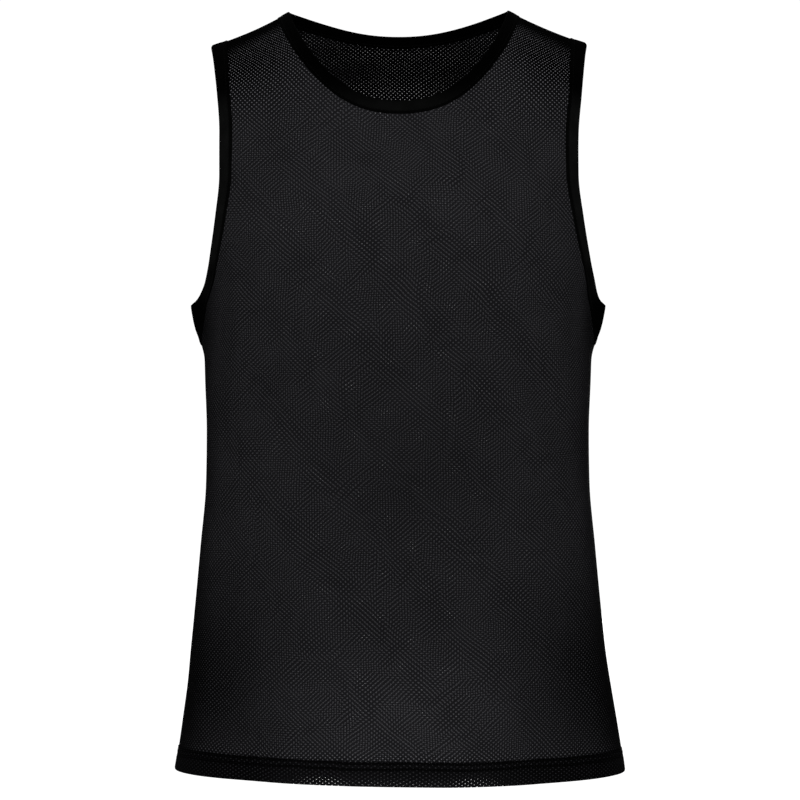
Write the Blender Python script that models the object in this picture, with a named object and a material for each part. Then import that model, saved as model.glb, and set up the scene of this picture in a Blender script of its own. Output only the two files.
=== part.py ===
"""Sleeveless mesh training bib, filled out as if worn, with nobody in it.

Metres, +Z up. The front faces -Y and the wearer's left is +X. The origin lies midway between the
two shoulder seams, halfway along them, where the wearer's shoulders carry the bib.

The cloth is worked out as a maker would think of it: a form is built from level sections, the form
is laid out flat as a front and a back (across = distance from the centre line, up = distance from
the hem, both measured along the cloth), the outlines are drawn on that layout, and each piece is a
wall on the form between its own outlines.
"""

from collections import namedtuple

import bpy
import numpy as np

# Cloth and tape.
MESH_WALL = 0.0012
HEM_WALL = 0.0024
TAPE_WALL = 0.0026
SEAM_GAP = 0.0003
NECK_TAPE = 0.0125
ARMHOLE_TAPE = 0.0160
HEM_DEPTH = 0.0220

# Heights from the origin.
HEM_HEIGHT = -0.7036
UNDERARM_HEIGHT = -0.2619
SHOULDER_START = -0.0900
NECK_POINT_HEIGHT = 0.0160
SHOULDER_ARC = 0.1300

# Neck opening, seen from the front.
NECK_HALF_WIDTH = 0.1045
Neckline = namedtuple("Neckline", "drop round_bottom round_side")
NECKLINES = {
    "front": Neckline(0.0935, 2.30, 1.20),
    "back": Neckline(0.0165, 2.20, 0.70),
}

# Shoulder line: it falls away from the neck point and is rounded off over the centre.
SHOULDER_FALL = 0.560
SHOULDER_EASE = 1.72
CENTRE_ROUND = 0.040

# Level sections of the form up to where the shoulders start to turn over.
Section = namedtuple("Section", "height half_width front_depth back_depth squareness")
BODY_SECTIONS = (
    Section(-0.7036, 0.2130, 0.1230, 0.1190, 1.85),
    Section(-0.6600, 0.2064, 0.1215, 0.1170, 1.95),
    Section(-0.6100, 0.1990, 0.1200, 0.1140, 2.05),
    Section(-0.5500, 0.1925, 0.1180, 0.1100, 2.15),
    Section(-0.4900, 0.1868, 0.1165, 0.1070, 2.25),
    Section(-0.4300, 0.1816, 0.1160, 0.1050, 2.30),
    Section(-0.3800, 0.1808, 0.1165, 0.1060, 2.35),
    Section(-0.3300, 0.1826, 0.1180, 0.1090, 2.40),
    Section(-0.2619, 0.1851, 0.1200, 0.1130, 2.45),
    Section(-0.2000, 0.1895, 0.1190, 0.1170, 2.50),
    Section(-0.1450, 0.1900, 0.1130, 0.1170, 2.50),
    Section(SHOULDER_START, 0.1900, 0.1000, 0.1080, 2.50),
)

# Sections that turn over the shoulders, by degrees of turn: 90 is the shoulder seam itself.
Turned = namedtuple("Turned", "turn half_width front_depth back_depth squareness")
SHOULDER_SECTIONS = (
    Turned(15.0, 0.1900, 0.0975, 0.0910, 2.50),
    Turned(30.0, 0.1905, 0.0840, 0.0620, 2.50),
    Turned(45.0, 0.1910, 0.0590, 0.0400, 2.50),
    Turned(60.0, 0.1912, 0.0350, 0.0265, 2.50),
    Turned(75.0, 0.1914, 0.0160, 0.0140, 2.50),
    Turned(90.0, 0.1915, 0.0000, 0.0000, 2.50),
)

# Armhole opening edge, seen from the front, from the underarm point up to the shoulder seam.
Armhole = namedtuple("Armhole", "height half_width")
ARMHOLE_EDGE = (
    Armhole(UNDERARM_HEIGHT, 0.1974),
    Armhole(-0.2571, 0.1915),
    Armhole(-0.2476, 0.1867),
    Armhole(-0.2381, 0.1831),
    Armhole(-0.2191, 0.1775),
    Armhole(-0.1811, 0.1705),
    Armhole(-0.1431, 0.1664),
    Armhole(-0.1051, 0.1668),
    Armhole(-0.0671, 0.1697),
    Armhole(-0.0291, 0.1752),
    Armhole(-0.0158, 0.1782),
)

# The underarm point stands out: both tapes are caught in the side seam and pinch together there.
PINCH_OUT = 0.0122
PINCH_BELOW = 0.0550
PINCH_ABOVE = 0.0105
PINCH_REACH = 0.0400
FLATTEN = 0.78
FLATTEN_BELOW = 0.1000
FLATTEN_ABOVE = 0.0800
FLATTEN_REACH = 0.0950

# Towards the underarm point more of the tape shows.
TAPE_WIDER = 0.0060
TAPE_WIDER_REACH = 0.0650

# How far under the underarm point, down the side seam, the armhole tape's sewn edge runs out.
TAPE_RUN_OUT = 0.0400
TAPE_RUN_OUT_START = 0.0200
RUN_OUT_LEAN = 1.00
RUN_OUT_SLOPE_STEP = 0.0100

# Over how many tape widths a tape turns to end along its seam.
TAPE_END_TURN = 1.5

# Soft folds: a row for each, mirrored where it lies off the centre line. Depth is outwards.
Fold = namedtuple("Fold", "side x height across along lean depth")
FOLDS = (
    Fold("front", 0.000, -0.150, 0.060, 0.070, 0.0, 0.0020),
    Fold("front", 0.121, -0.105, 0.030, 0.045, 0.0, -0.0030),
    Fold("front", 0.125, -0.195, 0.040, 0.045, 0.0, 0.0030),
    Fold("front", 0.135, -0.355, 0.016, 0.075, 28.0, -0.0030),
    Fold("front", 0.050, -0.395, 0.022, 0.050, 8.0, -0.0016),
    Fold("front", 0.000, -0.640, 0.070, 0.090, 0.0, 0.0040),
    Fold("front", 0.150, -0.650, 0.030, 0.090, -8.0, -0.0050),
    Fold("back", 0.000, -0.300, 0.030, 0.140, 0.0, -0.0035),
    Fold("back", 0.085, -0.210, 0.050, 0.070, -12.0, 0.0035),
    Fold("back", 0.130, -0.370, 0.016, 0.080, 30.0, -0.0032),
    Fold("back", 0.050, -0.600, 0.030, 0.110, 5.0, 0.0040),
    Fold("back", 0.130, -0.640, 0.028, 0.100, -6.0, -0.0045),
)

# How finely the form and the pieces are divided.
FORM_LEVELS = 201
FORM_ACROSS = 161
FORM_WIDEST = 0.3000
FOLD_FADE = 0.0300
THINNEST_FORM = 0.0200
NO_LENGTH = 1e-9
NECK_STEPS = 11
SHOULDER_STEPS = 7
ARMHOLE_STEPS = 17
SIDE_STEPS = 17
HEM_STEPS = 2
HEM_FOLD_ROW = 0.0012
HEM_FOLD_FULLNESS = 0.55
OUTLINE_POINTS = 400
UNDERARM_SPREAD = 0.22
SLOPE_STEP = 0.0025

CLOTH_BLACK = (0.0105, 0.0105, 0.0115, 1.0)
TAPE_BLACK = (0.0045, 0.0045, 0.0052, 1.0)
MESH_ROUGHNESS = 0.85
HEM_ROUGHNESS = 0.80
TAPE_ROUGHNESS = 0.70
CREASE_ANGLE = 50.0


def through_rows(places, values, at):
    """A smooth curve through table rows, that never swings past a row's own value."""
    places = np.asarray(places, float)
    values = np.asarray(values, float)
    gaps = np.diff(places)
    slopes = np.diff(values) / gaps
    lean = np.zeros_like(values)
    lean[0] = slopes[0]
    lean[-1] = slopes[-1]
    for k in range(1, len(values) - 1):
        before, after = slopes[k - 1], slopes[k]
        if before * after > 0:
            near = 2 * gaps[k] + gaps[k - 1]
            far = gaps[k] + 2 * gaps[k - 1]
            lean[k] = (near + far) / (near / before + far / after)
    at = np.clip(np.asarray(at, float), places[0], places[-1])
    k = np.clip(np.searchsorted(places, at) - 1, 0, len(gaps) - 1)
    t = (at - places[k]) / gaps[k]
    return (
        (1 + 2 * t) * (1 - t) ** 2 * values[k]
        + t * (1 - t) ** 2 * gaps[k] * lean[k]
        + t * t * (3 - 2 * t) * values[k + 1]
        + t * t * (t - 1) * gaps[k] * lean[k + 1]
    )


def eased(t):
    """0 to 1 with level ends."""
    t = np.clip(t, 0.0, 1.0)
    return t * t * (3 - 2 * t)


def shoulder_line(x):
    """Height of the shoulder line at a distance x from the centre."""
    past_neck = np.hypot(x, CENTRE_ROUND) - np.hypot(NECK_HALF_WIDTH, CENTRE_ROUND)
    return NECK_POINT_HEIGHT - SHOULDER_FALL * past_neck + SHOULDER_EASE * past_neck**2


def path_lengths(points):
    """Distance along each row of points, from the row's start."""
    steps = np.linalg.norm(np.diff(points, axis=-2), axis=-1)
    start = np.zeros(steps.shape[:-1] + (1,))
    return np.concatenate([start, np.cumsum(steps, axis=-1)], axis=-1)


def blend(lattice, u, v):
    """Values of a lattice at shares of its rows and of its columns."""
    rows, columns = lattice.shape[:2]
    u = np.clip(u, 0, 1) * (rows - 1)
    v = np.clip(v, 0, 1) * (columns - 1)
    i = np.minimum(u.astype(int), rows - 2)
    j = np.minimum(v.astype(int), columns - 2)
    s, t = u - i, v - j
    if lattice.ndim == 3:
        s, t = s[..., None], t[..., None]
    low = lattice[i, j] * (1 - t) + lattice[i, j + 1] * t
    high = lattice[i + 1, j] * (1 - t) + lattice[i + 1, j + 1] * t
    return low * (1 - s) + high * s


class Form:
    """One half of the worn form, front or back, and its flat layout."""

    def __init__(self, side):
        self.side = side
        self.facing = -1.0 if side == "front" else 1.0
        body_climb = SHOULDER_START - HEM_HEIGHT
        self.underarm_climb = UNDERARM_HEIGHT - HEM_HEIGHT
        self.full_climb = body_climb + SHOULDER_ARC
        climbs = [row.height - HEM_HEIGHT for row in BODY_SECTIONS]
        climbs += [body_climb + SHOULDER_ARC * row.turn / 90 for row in SHOULDER_SECTIONS]
        rows = BODY_SECTIONS + SHOULDER_SECTIONS
        depth_name = side + "_depth"
        self.climb = np.linspace(0.0, self.full_climb, FORM_LEVELS)
        half_width = through_rows(climbs, [row.half_width for row in rows], self.climb)
        depth = through_rows(climbs, [getattr(row, depth_name) for row in rows], self.climb)
        square = through_rows(climbs, [row.squareness for row in rows], self.climb)
        turn = np.radians(90 * np.clip((self.climb - body_climb) / SHOULDER_ARC, 0, 1))
        level = HEM_HEIGHT + np.minimum(self.climb, body_climb)

        # Level sections: x and depth from the angle round the section, 0 at the centre line.
        angle = np.linspace(0.0, np.pi / 2, 4 * FORM_ACROSS)
        power = 2 / square[:, None]
        x = half_width[:, None] * np.sin(angle) ** power
        y = depth[:, None] * np.abs(np.cos(angle)) ** power
        y[:, -1] = 0.0
        z = level[:, None] + (shoulder_line(x) - SHOULDER_START) * np.sin(turn)[:, None]
        x, y = self.folded(x, y, z, half_width[:, None], depth[:, None])
        points = np.stack([x, self.facing * y, z], axis=-1)
        points = self.pinched(points)

        # The same sections, in equal steps measured along the cloth.
        lengths = path_lengths(points)
        self.reach = lengths[:, -1]
        share = np.linspace(0.0, 1.0, FORM_ACROSS)
        self.sections = np.empty((FORM_LEVELS, FORM_ACROSS, 3))
        for i in range(FORM_LEVELS):
            for axis in range(3):
                stops = lengths[i] / self.reach[i]
                self.sections[i, :, axis] = np.interp(share, stops, points[i, :, axis])

        # The flat layout: columns a fixed distance from the centre line, measured up the cloth.
        self.across = np.linspace(0.0, FORM_WIDEST, FORM_ACROSS)
        columns = np.empty((FORM_ACROSS, FORM_LEVELS, 3))
        for i in range(FORM_LEVELS):
            for axis in range(3):
                columns[:, i, axis] = np.interp(
                    self.across / self.reach[i], share, self.sections[i, :, axis]
                )
        self.up_at_level = path_lengths(columns)
        self.column_top = self.up_at_level[:, -1]
        self.level_at = np.array(
            [
                np.interp(np.linspace(0.0, tops[-1], FORM_LEVELS), tops, np.arange(FORM_LEVELS))
                for tops in self.up_at_level
            ]
        )
        self.side_up = np.array(
            [
                np.interp(self.reach[i], self.across, self.up_at_level[:, i])
                for i in range(FORM_LEVELS)
            ]
        )

    def folded(self, x, y, z, half_width, depth):
        """Adds the soft folds, each pushed out or in square to the section."""
        away = np.zeros_like(x)
        for fold in FOLDS:
            if fold.side != self.side:
                continue
            lean = np.radians(fold.lean)
            side_on = (x - fold.x) * np.cos(lean) + (z - fold.height) * np.sin(lean)
            end_on = (z - fold.height) * np.cos(lean) - (x - fold.x) * np.sin(lean)
            away += fold.depth * np.exp(-((side_on / fold.across) ** 2) - (end_on / fold.along) ** 2)
        steep = np.stack([x / half_width**2, y / np.maximum(depth, THINNEST_FORM) ** 2])
        steep /= np.maximum(np.linalg.norm(steep, axis=0), NO_LENGTH)
        # Folds fade out over the last of the section, so that front and back still meet.
        away *= eased(y / FOLD_FADE)
        return x + away * steep[0], y + away * steep[1]

    def pinched(self, points):
        """Draws the sections together at the underarm point, and the point outwards."""
        from_side = path_lengths(points[:, ::-1])[:, ::-1]
        above = (self.climb - self.underarm_climb)[:, None]
        out = np.where(
            above < 0, 1 - eased(-above / PINCH_BELOW), np.exp(-np.abs(above) / PINCH_ABOVE)
        )
        flat = 1 - np.where(above < 0, eased(-above / FLATTEN_BELOW), eased(above / FLATTEN_ABOVE))
        t = np.clip(from_side / PINCH_REACH, 0, 1)
        moved = points.copy()
        moved[..., 0] += PINCH_OUT * out * (1 - t) ** 2
        t = np.clip(from_side / FLATTEN_REACH, 0, 1)
        moved[..., 1] *= 1 - FLATTEN * flat * (1 - t * t) ** 2
        return moved

    def flat_of(self, x, z):
        """The flat place of the form's point that is seen from the front at x, z."""
        level_number = np.arange(FORM_LEVELS)
        heights = [np.interp(x, row[:, 0], row[:, 2]) for row in self.sections]
        level = np.interp(z, heights, level_number)
        low = min(int(level), FORM_LEVELS - 2)
        share = np.linspace(0.0, 1.0, FORM_ACROSS)
        place = []
        for i in (low, low + 1):
            across = np.interp(x, self.sections[i, :, 0], share) * self.reach[i]
            up = np.interp(across, self.across, self.up_at_level[:, i])
            place.append((across, up))
        t = level - low
        return np.array(place[0]) * (1 - t) + np.array(place[1]) * t

    def at(self, across, up):
        """Points of the form at flat places; across may be on either side of the centre line."""
        side = np.where(np.asarray(across) < 0, -1.0, 1.0)
        across = np.abs(across)
        v = np.clip(up / np.interp(across, self.across, self.column_top), 0, 1)
        level = blend(self.level_at, across / FORM_WIDEST, v)
        share = across / np.interp(level, np.arange(FORM_LEVELS), self.reach)
        points = blend(self.sections, level / (FORM_LEVELS - 1), share)
        points[..., 0] *= side
        return points

    def slopes(self, across, up):
        """How a point of the form moves for a step across and for a step up, on one half."""
        right = np.minimum(across + SLOPE_STEP, self.side_reach(up))
        top = np.minimum(up + SLOPE_STEP, self.shoulder_up(across))
        along = self.at(right, up) - self.at(right - 2 * SLOPE_STEP, up)
        climb = self.at(across, top) - self.at(across, top - 2 * SLOPE_STEP)
        return along / (2 * SLOPE_STEP), climb / (2 * SLOPE_STEP)

    def outwards(self, across, up):
        """Unit normals at flat places, pointing away from the wearer."""
        along, climb = self.slopes(np.abs(across), up)
        normal = np.cross(along, climb) * -self.facing
        normal[..., 0] *= np.where(across < 0, -1.0, 1.0)
        return normal / np.linalg.norm(normal, axis=-1, keepdims=True)

    def square_step(self, place, along, width):
        """Flat steps that lead a true width away from a line, square to it on the cloth."""
        step = np.zeros_like(place)
        for _ in range(3):
            half_way = place + step / 2
            right, climb = self.slopes(half_way[:, 0], half_way[:, 1])
            true = right * along[:, :1] + climb * along[:, 1:]
            step = np.stack([np.sum(true * climb, axis=1), -np.sum(true * right, axis=1)], axis=1)
            step *= width / self.true_length(right, climb, step)
        return step

    @staticmethod
    def true_length(right, climb, step):
        return np.linalg.norm(right * step[:, :1] + climb * step[:, 1:], axis=1, keepdims=True)

    def side_reach(self, up):
        """Half width of the flat layout at a height up the side seam."""
        return np.interp(up, self.side_up, self.reach)

    def shoulder_up(self, across):
        """Height of the shoulder seam on the flat layout."""
        return np.interp(np.abs(across), self.across, self.column_top)


def smooth_directions(line):
    """Unit directions along a flat outline."""
    along = np.gradient(line, axis=0)
    return along / np.linalg.norm(along, axis=1, keepdims=True)


def neck_edge(form):
    """Flat opening edge of the neck, from the centre line to the shoulder seam."""
    shape = NECKLINES[form.side]
    turn = np.linspace(0.0, np.pi / 2, OUTLINE_POINTS)
    x = NECK_HALF_WIDTH * np.sin(turn) ** (2 / shape.round_bottom)
    z = NECK_POINT_HEIGHT - shape.drop * np.cos(turn) ** (2 / shape.round_side)
    line = np.array([form.flat_of(*place) for place in zip(x, z)])
    line[-1, 1] = form.shoulder_up(line[-1, 0])
    return line


def armhole_edge(form):
    """Flat opening edge of the armhole, from the underarm point to the shoulder seam."""
    z = np.linspace(ARMHOLE_EDGE[0].height, ARMHOLE_EDGE[-1].height, OUTLINE_POINTS)
    heights = [row.height for row in ARMHOLE_EDGE]
    x = through_rows(heights, [row.half_width for row in ARMHOLE_EDGE], z)
    line = np.array([form.flat_of(*place) for place in zip(x, z)])
    line[0, 1] = np.interp(UNDERARM_HEIGHT - HEM_HEIGHT, form.climb, form.side_up)
    line[0, 0] = form.side_reach(line[0, 1])
    line[-1, 1] = form.shoulder_up(line[-1, 0])
    return line


def set_in(form, line, width, seam_way, wider=0.0):
    """The outline a tape's width in from an opening edge; its far end is kept on the seam."""
    from_start = path_lengths(line)[:, None]
    widths = width + wider * (1 - eased(from_start / TAPE_WIDER_REACH))
    moved = line + form.square_step(line, smooth_directions(line), widths)
    # Near the seam the tape turns until it ends along it.
    end_across = line[-1, 0] + seam_way * abs(width)
    end = np.array([end_across, form.shoulder_up(end_across)])
    left = (path_lengths(line)[-1] - path_lengths(line)) / (TAPE_END_TURN * abs(width))
    turned = (1 - eased(left))[:, None]
    return moved * (1 - turned) + (moved - moved[-1] + end) * turned


def at_shares(line, lengths, shares):
    """Points of an outline at given shares of a run of lengths, one length for each point."""
    places = np.asarray(shares) * lengths[-1]
    return np.stack([np.interp(places, lengths, line[:, k]) for k in range(2)], axis=1)


def beside(form, stations, gap):
    """The stations of an outline moved a true gap aside on the cloth."""
    steps = np.diff(stations, axis=0)
    steps /= np.linalg.norm(steps, axis=1, keepdims=True)
    tangents = np.concatenate([steps[:1], steps]) + np.concatenate([steps, steps[-1:]])
    return stations + form.square_step(stations, tangents, gap)


def end_beside(form, end, before, seam):
    """The end of a moved outline: a seam gap clear of the first outline, on the same seam."""
    right, climb = form.slopes(end[:1], end[1:])
    line = right[0] * (end - before)[0] + climb[0] * (end - before)[1]
    along = right[0] * seam[0] + climb[0] * seam[1]
    clear = np.linalg.norm(np.cross(line, along)) / np.linalg.norm(line)
    return end + seam * SEAM_GAP / clear


class Pattern:
    """The flat outlines of one half, as stations: opening edges, tape edges and cloth edges."""

    def __init__(self, form):
        self.form = form
        neck = neck_edge(form)
        armhole = armhole_edge(form)
        neck_far = set_in(form, neck, NECK_TAPE, 1.0)
        armhole_far = set_in(form, armhole, -ARMHOLE_TAPE, -1.0, -TAPE_WIDER)
        armhole_far = self.run_out(armhole, armhole_far)

        shares = np.linspace(0.0, 1.0, NECK_STEPS + 1)
        lengths = path_lengths(neck)
        self.neck = at_shares(neck, lengths, shares)
        self.neck_tape = at_shares(neck_far, lengths, shares)
        self.neck_cloth = beside(form, self.neck_tape, SEAM_GAP)
        self.neck_cloth[0, 0] = 0.0

        t = np.linspace(0.0, 1.0, ARMHOLE_STEPS + 1)
        shares = t + UNDERARM_SPREAD * t * (1 - t)
        lengths = path_lengths(armhole)
        self.armhole = at_shares(armhole, lengths, shares)
        self.armhole_tape = at_shares(armhole_far, lengths, shares)
        self.armhole_cloth = beside(form, self.armhole_tape, -SEAM_GAP)

        # Ends on the shoulder seam and on the side seam.
        for tape, cloth, way in (
            (self.neck_tape, self.neck_cloth, 1.0),
            (self.armhole_tape, self.armhole_cloth, -1.0),
        ):
            ahead = tape[-1, 0] + way * SLOPE_STEP
            rise = form.shoulder_up(ahead) - form.shoulder_up(tape[-1, 0])
            seam = np.array([way, rise / SLOPE_STEP])
            cloth[-1] = end_beside(form, tape[-1], tape[-2], seam)
        ahead = self.armhole_tape[0, 1] - SLOPE_STEP
        seam = np.array([form.side_reach(ahead) - self.armhole_tape[0, 0], -SLOPE_STEP])
        self.armhole_cloth[0] = end_beside(form, self.armhole_tape[0], self.armhole_tape[1], seam)
        for line in (self.neck, self.neck_tape, self.neck_cloth):
            line[-1, 1] = form.shoulder_up(line[-1, 0])
        for line in (self.armhole, self.armhole_tape, self.armhole_cloth):
            line[-1, 1] = form.shoulder_up(line[-1, 0])
            line[0, 0] = form.side_reach(line[0, 1]) - SEAM_GAP / 2

    def run_out(self, opening, far_edge):
        """Turns a tape's far edge down until it meets the side seam under the underarm point."""
        lengths = path_lengths(opening)
        turn = int(np.searchsorted(lengths, TAPE_RUN_OUT_START))
        meeting_up = opening[0, 1] - TAPE_RUN_OUT
        start = np.array([self.form.side_reach(meeting_up), meeting_up])
        end = far_edge[turn]
        gap = np.linalg.norm(end - start)
        below = meeting_up - RUN_OUT_SLOPE_STEP
        down_seam = start - np.array([self.form.side_reach(below), below])
        lean_out = down_seam / np.linalg.norm(down_seam) * gap - np.array([RUN_OUT_LEAN, 0.0]) * gap
        lean_in = smooth_directions(far_edge)[turn] * gap
        t = (lengths[: turn + 1] / lengths[turn])[:, None]
        curve = (
            (1 + 2 * t) * (1 - t) ** 2 * start
            + t * (1 - t) ** 2 * lean_out
            + t * t * (3 - 2 * t) * end
            + t * t * (t - 1) * lean_in
        )
        return np.concatenate([curve, far_edge[turn + 1 :]])


def new_material(name, colour, roughness):
    material = bpy.data.materials.new(name)
    material.use_nodes = True
    shader = material.node_tree.nodes["Principled BSDF"]
    shader.inputs["Base Color"].default_value = colour
    shader.inputs["Roughness"].default_value = roughness
    shader.inputs["Metallic"].default_value = 0.0
    return material


def new_piece(name, vertices, faces, material):
    mesh = bpy.data.meshes.new(name)
    mesh.from_pydata([tuple(v) for v in vertices], [], faces)
    mesh.validate()
    mesh.shade_smooth()
    mesh.set_sharp_from_angle(angle=np.radians(CREASE_ANGLE))
    mesh.materials.append(material)
    piece = bpy.data.objects.new(name, mesh)
    bpy.context.scene.collection.objects.link(piece)
    return piece


def wall(name, outer, inner, closed_ring, material):
    """A closed wall between two grids of points, rows by columns; the rows may join in a ring."""
    rows, columns = outer.shape[:2]
    vertices = np.concatenate([outer.reshape(-1, 3), inner.reshape(-1, 3)])
    back = rows * columns
    faces = []
    last = rows if closed_ring else rows - 1
    for i in range(last):
        n = (i + 1) % rows
        for j in range(columns - 1):
            a, b = i * columns + j, i * columns + j + 1
            c, d = n * columns + j + 1, n * columns + j
            faces.append((a, b, c, d))
            faces.append((back + d, back + c, back + b, back + a))
        for j, flip in ((0, False), (columns - 1, True)):
            a, d = i * columns + j, n * columns + j
            rim = (a, d, back + d, back + a)
            faces.append(rim[::-1] if flip else rim)
    if not closed_ring:
        for i, flip in ((0, True), (rows - 1, False)):
            for j in range(columns - 1):
                a, b = i * columns + j, i * columns + j + 1
                rim = (a, b, back + b, back + a)
                faces.append(rim[::-1] if flip else rim)
    if signed_volume(vertices, faces) < 0:
        faces = [face[::-1] for face in faces]
    return new_piece(name, vertices, faces, material)


def signed_volume(vertices, faces):
    total = 0.0
    for a, b, c, d in faces:
        total += np.dot(vertices[a], np.cross(vertices[b], vertices[c]))
        total += np.dot(vertices[a], np.cross(vertices[c], vertices[d]))
    return total / 6


def kept_apart(points, facing):
    """Keeps front and back clear of each other, where the side seam pinches them together."""
    limit = SEAM_GAP / 2
    points[..., 1] = facing * np.maximum(facing * points[..., 1], limit)
    return points


def wall_grids(form, across, up, thickness):
    """Outer and inner points of a wall that is centred on the form."""
    middle = form.at(across, up)
    normal = form.outwards(across, up)
    half = np.asarray(thickness)[..., None] / 2
    outer = kept_apart(middle + normal * half, form.facing)
    inner = kept_apart(middle - normal * half, form.facing)
    return outer, inner


def panel(name, pattern, material):
    """The cloth of one half, between hem, side seams, armholes, shoulder seams and neck."""
    form = pattern.form
    top_neck = pattern.neck_cloth
    armhole = pattern.armhole_cloth
    seam_across = np.linspace(top_neck[-1, 0], armhole[-1, 0], SHOULDER_STEPS + 1)
    seam_up = form.shoulder_up(seam_across) - SEAM_GAP / 2
    top = np.stack(
        [
            np.concatenate([top_neck[:-1, 0], seam_across]),
            np.concatenate([top_neck[:-1, 1], seam_up]),
        ],
        axis=1,
    )
    start = HEM_DEPTH + SEAM_GAP
    side_up = np.linspace(start, armhole[0, 1], SIDE_STEPS + 1)
    side = np.stack([form.side_reach(side_up) - SEAM_GAP / 2, side_up], axis=1)
    edge = np.concatenate([side[:-1], armhole])
    edge[-1] = top[-1]

    share = top[:, 0] / top[-1, 0]
    lift = np.clip((edge[:, 1] - start) / (edge[-1, 1] - start), 0, 1) ** 3
    across = edge[:, 0][:, None] * share[None, :]
    up = edge[:, 1][:, None] + (top[:, 1] - top[-1, 1])[None, :] * lift[:, None]
    across = np.concatenate([-across[:, :0:-1], across], axis=1)
    up = np.concatenate([up[:, :0:-1], up], axis=1)
    outer, inner = wall_grids(form, across, up, np.full(across.shape, MESH_WALL))
    return wall(name, outer, inner, False, material)


def hem(name, pattern, material):
    """The turned-up hem of one half: two layers, a fold at the bottom."""
    form = pattern.form
    neck = pattern.neck_cloth
    shoulder = np.linspace(neck[-1, 0], pattern.armhole_cloth[-1, 0], SHOULDER_STEPS + 1)
    share = np.concatenate([neck[:-1, 0], shoulder]) / shoulder[-1]
    up = np.linspace(0.0, HEM_DEPTH, HEM_STEPS + 1)
    up = np.concatenate([[0.0, HEM_FOLD_ROW], up[1:]])
    fullness = np.array([HEM_FOLD_FULLNESS] + [1.0] * (len(up) - 1))
    reach = form.side_reach(up) - SEAM_GAP / 2
    across = reach[:, None] * share[None, :]
    across = np.concatenate([-across[:, :0:-1], across], axis=1)
    up = np.repeat(up[:, None], across.shape[1], axis=1)
    thickness = HEM_WALL * np.repeat(fullness[:, None], across.shape[1], axis=1)
    outer, inner = wall_grids(form, across, up, thickness)
    return wall(name, outer, inner, False, material)


# Where the points lie across a folded tape, and how full its thickness is there.
TAPE_SHARES = np.array([0.0, 0.10, 0.50, 0.92, 1.0])
TAPE_FULLNESS = np.array([0.55, 1.0, 1.0, 1.0, 0.75])


def tape_grids(form, opening, far_edge, flip):
    """Outer and inner points of a tape between its opening edge and its far edge."""
    flat = opening[:, None, :] + (far_edge - opening)[:, None, :] * TAPE_SHARES[None, :, None]
    across = flat[..., 0] * flip
    thickness = TAPE_WALL * np.repeat(TAPE_FULLNESS[None, :], len(flat), axis=0)
    return wall_grids(form, across, flat[..., 1], thickness)


def neck_binding(patterns, material):
    """The closed ring of tape round the neck: front from left to right, then back again."""
    parts = []
    for side, order in (("front", 1), ("back", -1)):
        pattern = patterns[side]
        grids = []
        for flip in (1, -1):
            grids.append(tape_grids(pattern.form, pattern.neck, pattern.neck_tape, flip))
        for layer in (0, 1):
            left = grids[1][layer][:0:-1]
            half = np.concatenate([left, grids[0][layer]])
            parts.append(half[::order])
    # Where front and back meet on the shoulder seam, one shared row of points stands on the seam.
    rings = []
    for layer in (0, 1):
        front, back = parts[layer], parts[2 + layer]
        right = (front[-1] + back[0]) / 2
        left = (front[0] + back[-1]) / 2
        rings.append(np.concatenate([left[None], front[1:-1], right[None], back[1:-1]]))
    return wall("neck_binding", rings[0], rings[1], True, material)


def armhole_binding(name, patterns, flip, material):
    """The tape round one armhole, from the side seam up the front, over and down the back."""
    parts = []
    for side in ("front", "back"):
        pattern = patterns[side]
        parts.append(tape_grids(pattern.form, pattern.armhole, pattern.armhole_tape, flip))
    strips = []
    for layer in (0, 1):
        front, back = parts[0][layer], parts[1][layer]
        seam = (front[-1] + back[-1]) / 2
        strips.append(np.concatenate([front[:-1], seam[None], back[-2::-1]]))
    return wall(name, strips[0], strips[1], False, material)


def build():
    for thing in list(bpy.data.objects):
        bpy.data.objects.remove(thing)
    patterns = {side: Pattern(Form(side)) for side in ("front", "back")}
    for side, pattern in patterns.items():
        cloth = new_material(side + "_mesh_cloth", CLOTH_BLACK, MESH_ROUGHNESS)
        turned = new_material(side + "_hem_cloth", CLOTH_BLACK, HEM_ROUGHNESS)
        panel(side + "_panel", pattern, cloth)
        hem(side + "_hem", pattern, turned)
    neck_binding(patterns, new_material("neck_tape", TAPE_BLACK, TAPE_ROUGHNESS))
    for name, flip in (("armhole_binding_left", 1), ("armhole_binding_right", -1)):
        tape = new_material(name + "_tape", TAPE_BLACK, TAPE_ROUGHNESS)
        armhole_binding(name, patterns, flip, tape)


build()
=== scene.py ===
# Sleeveless training bib in black hole-knit mesh, filled out as if worn, with nobody in it.
# Each section makes one piece, or one group of pieces, in the order in which they are sewn.
# Metres, +Z up. The bib's front faces -Y and the wearer's left is +X.

from collections import namedtuple

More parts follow.
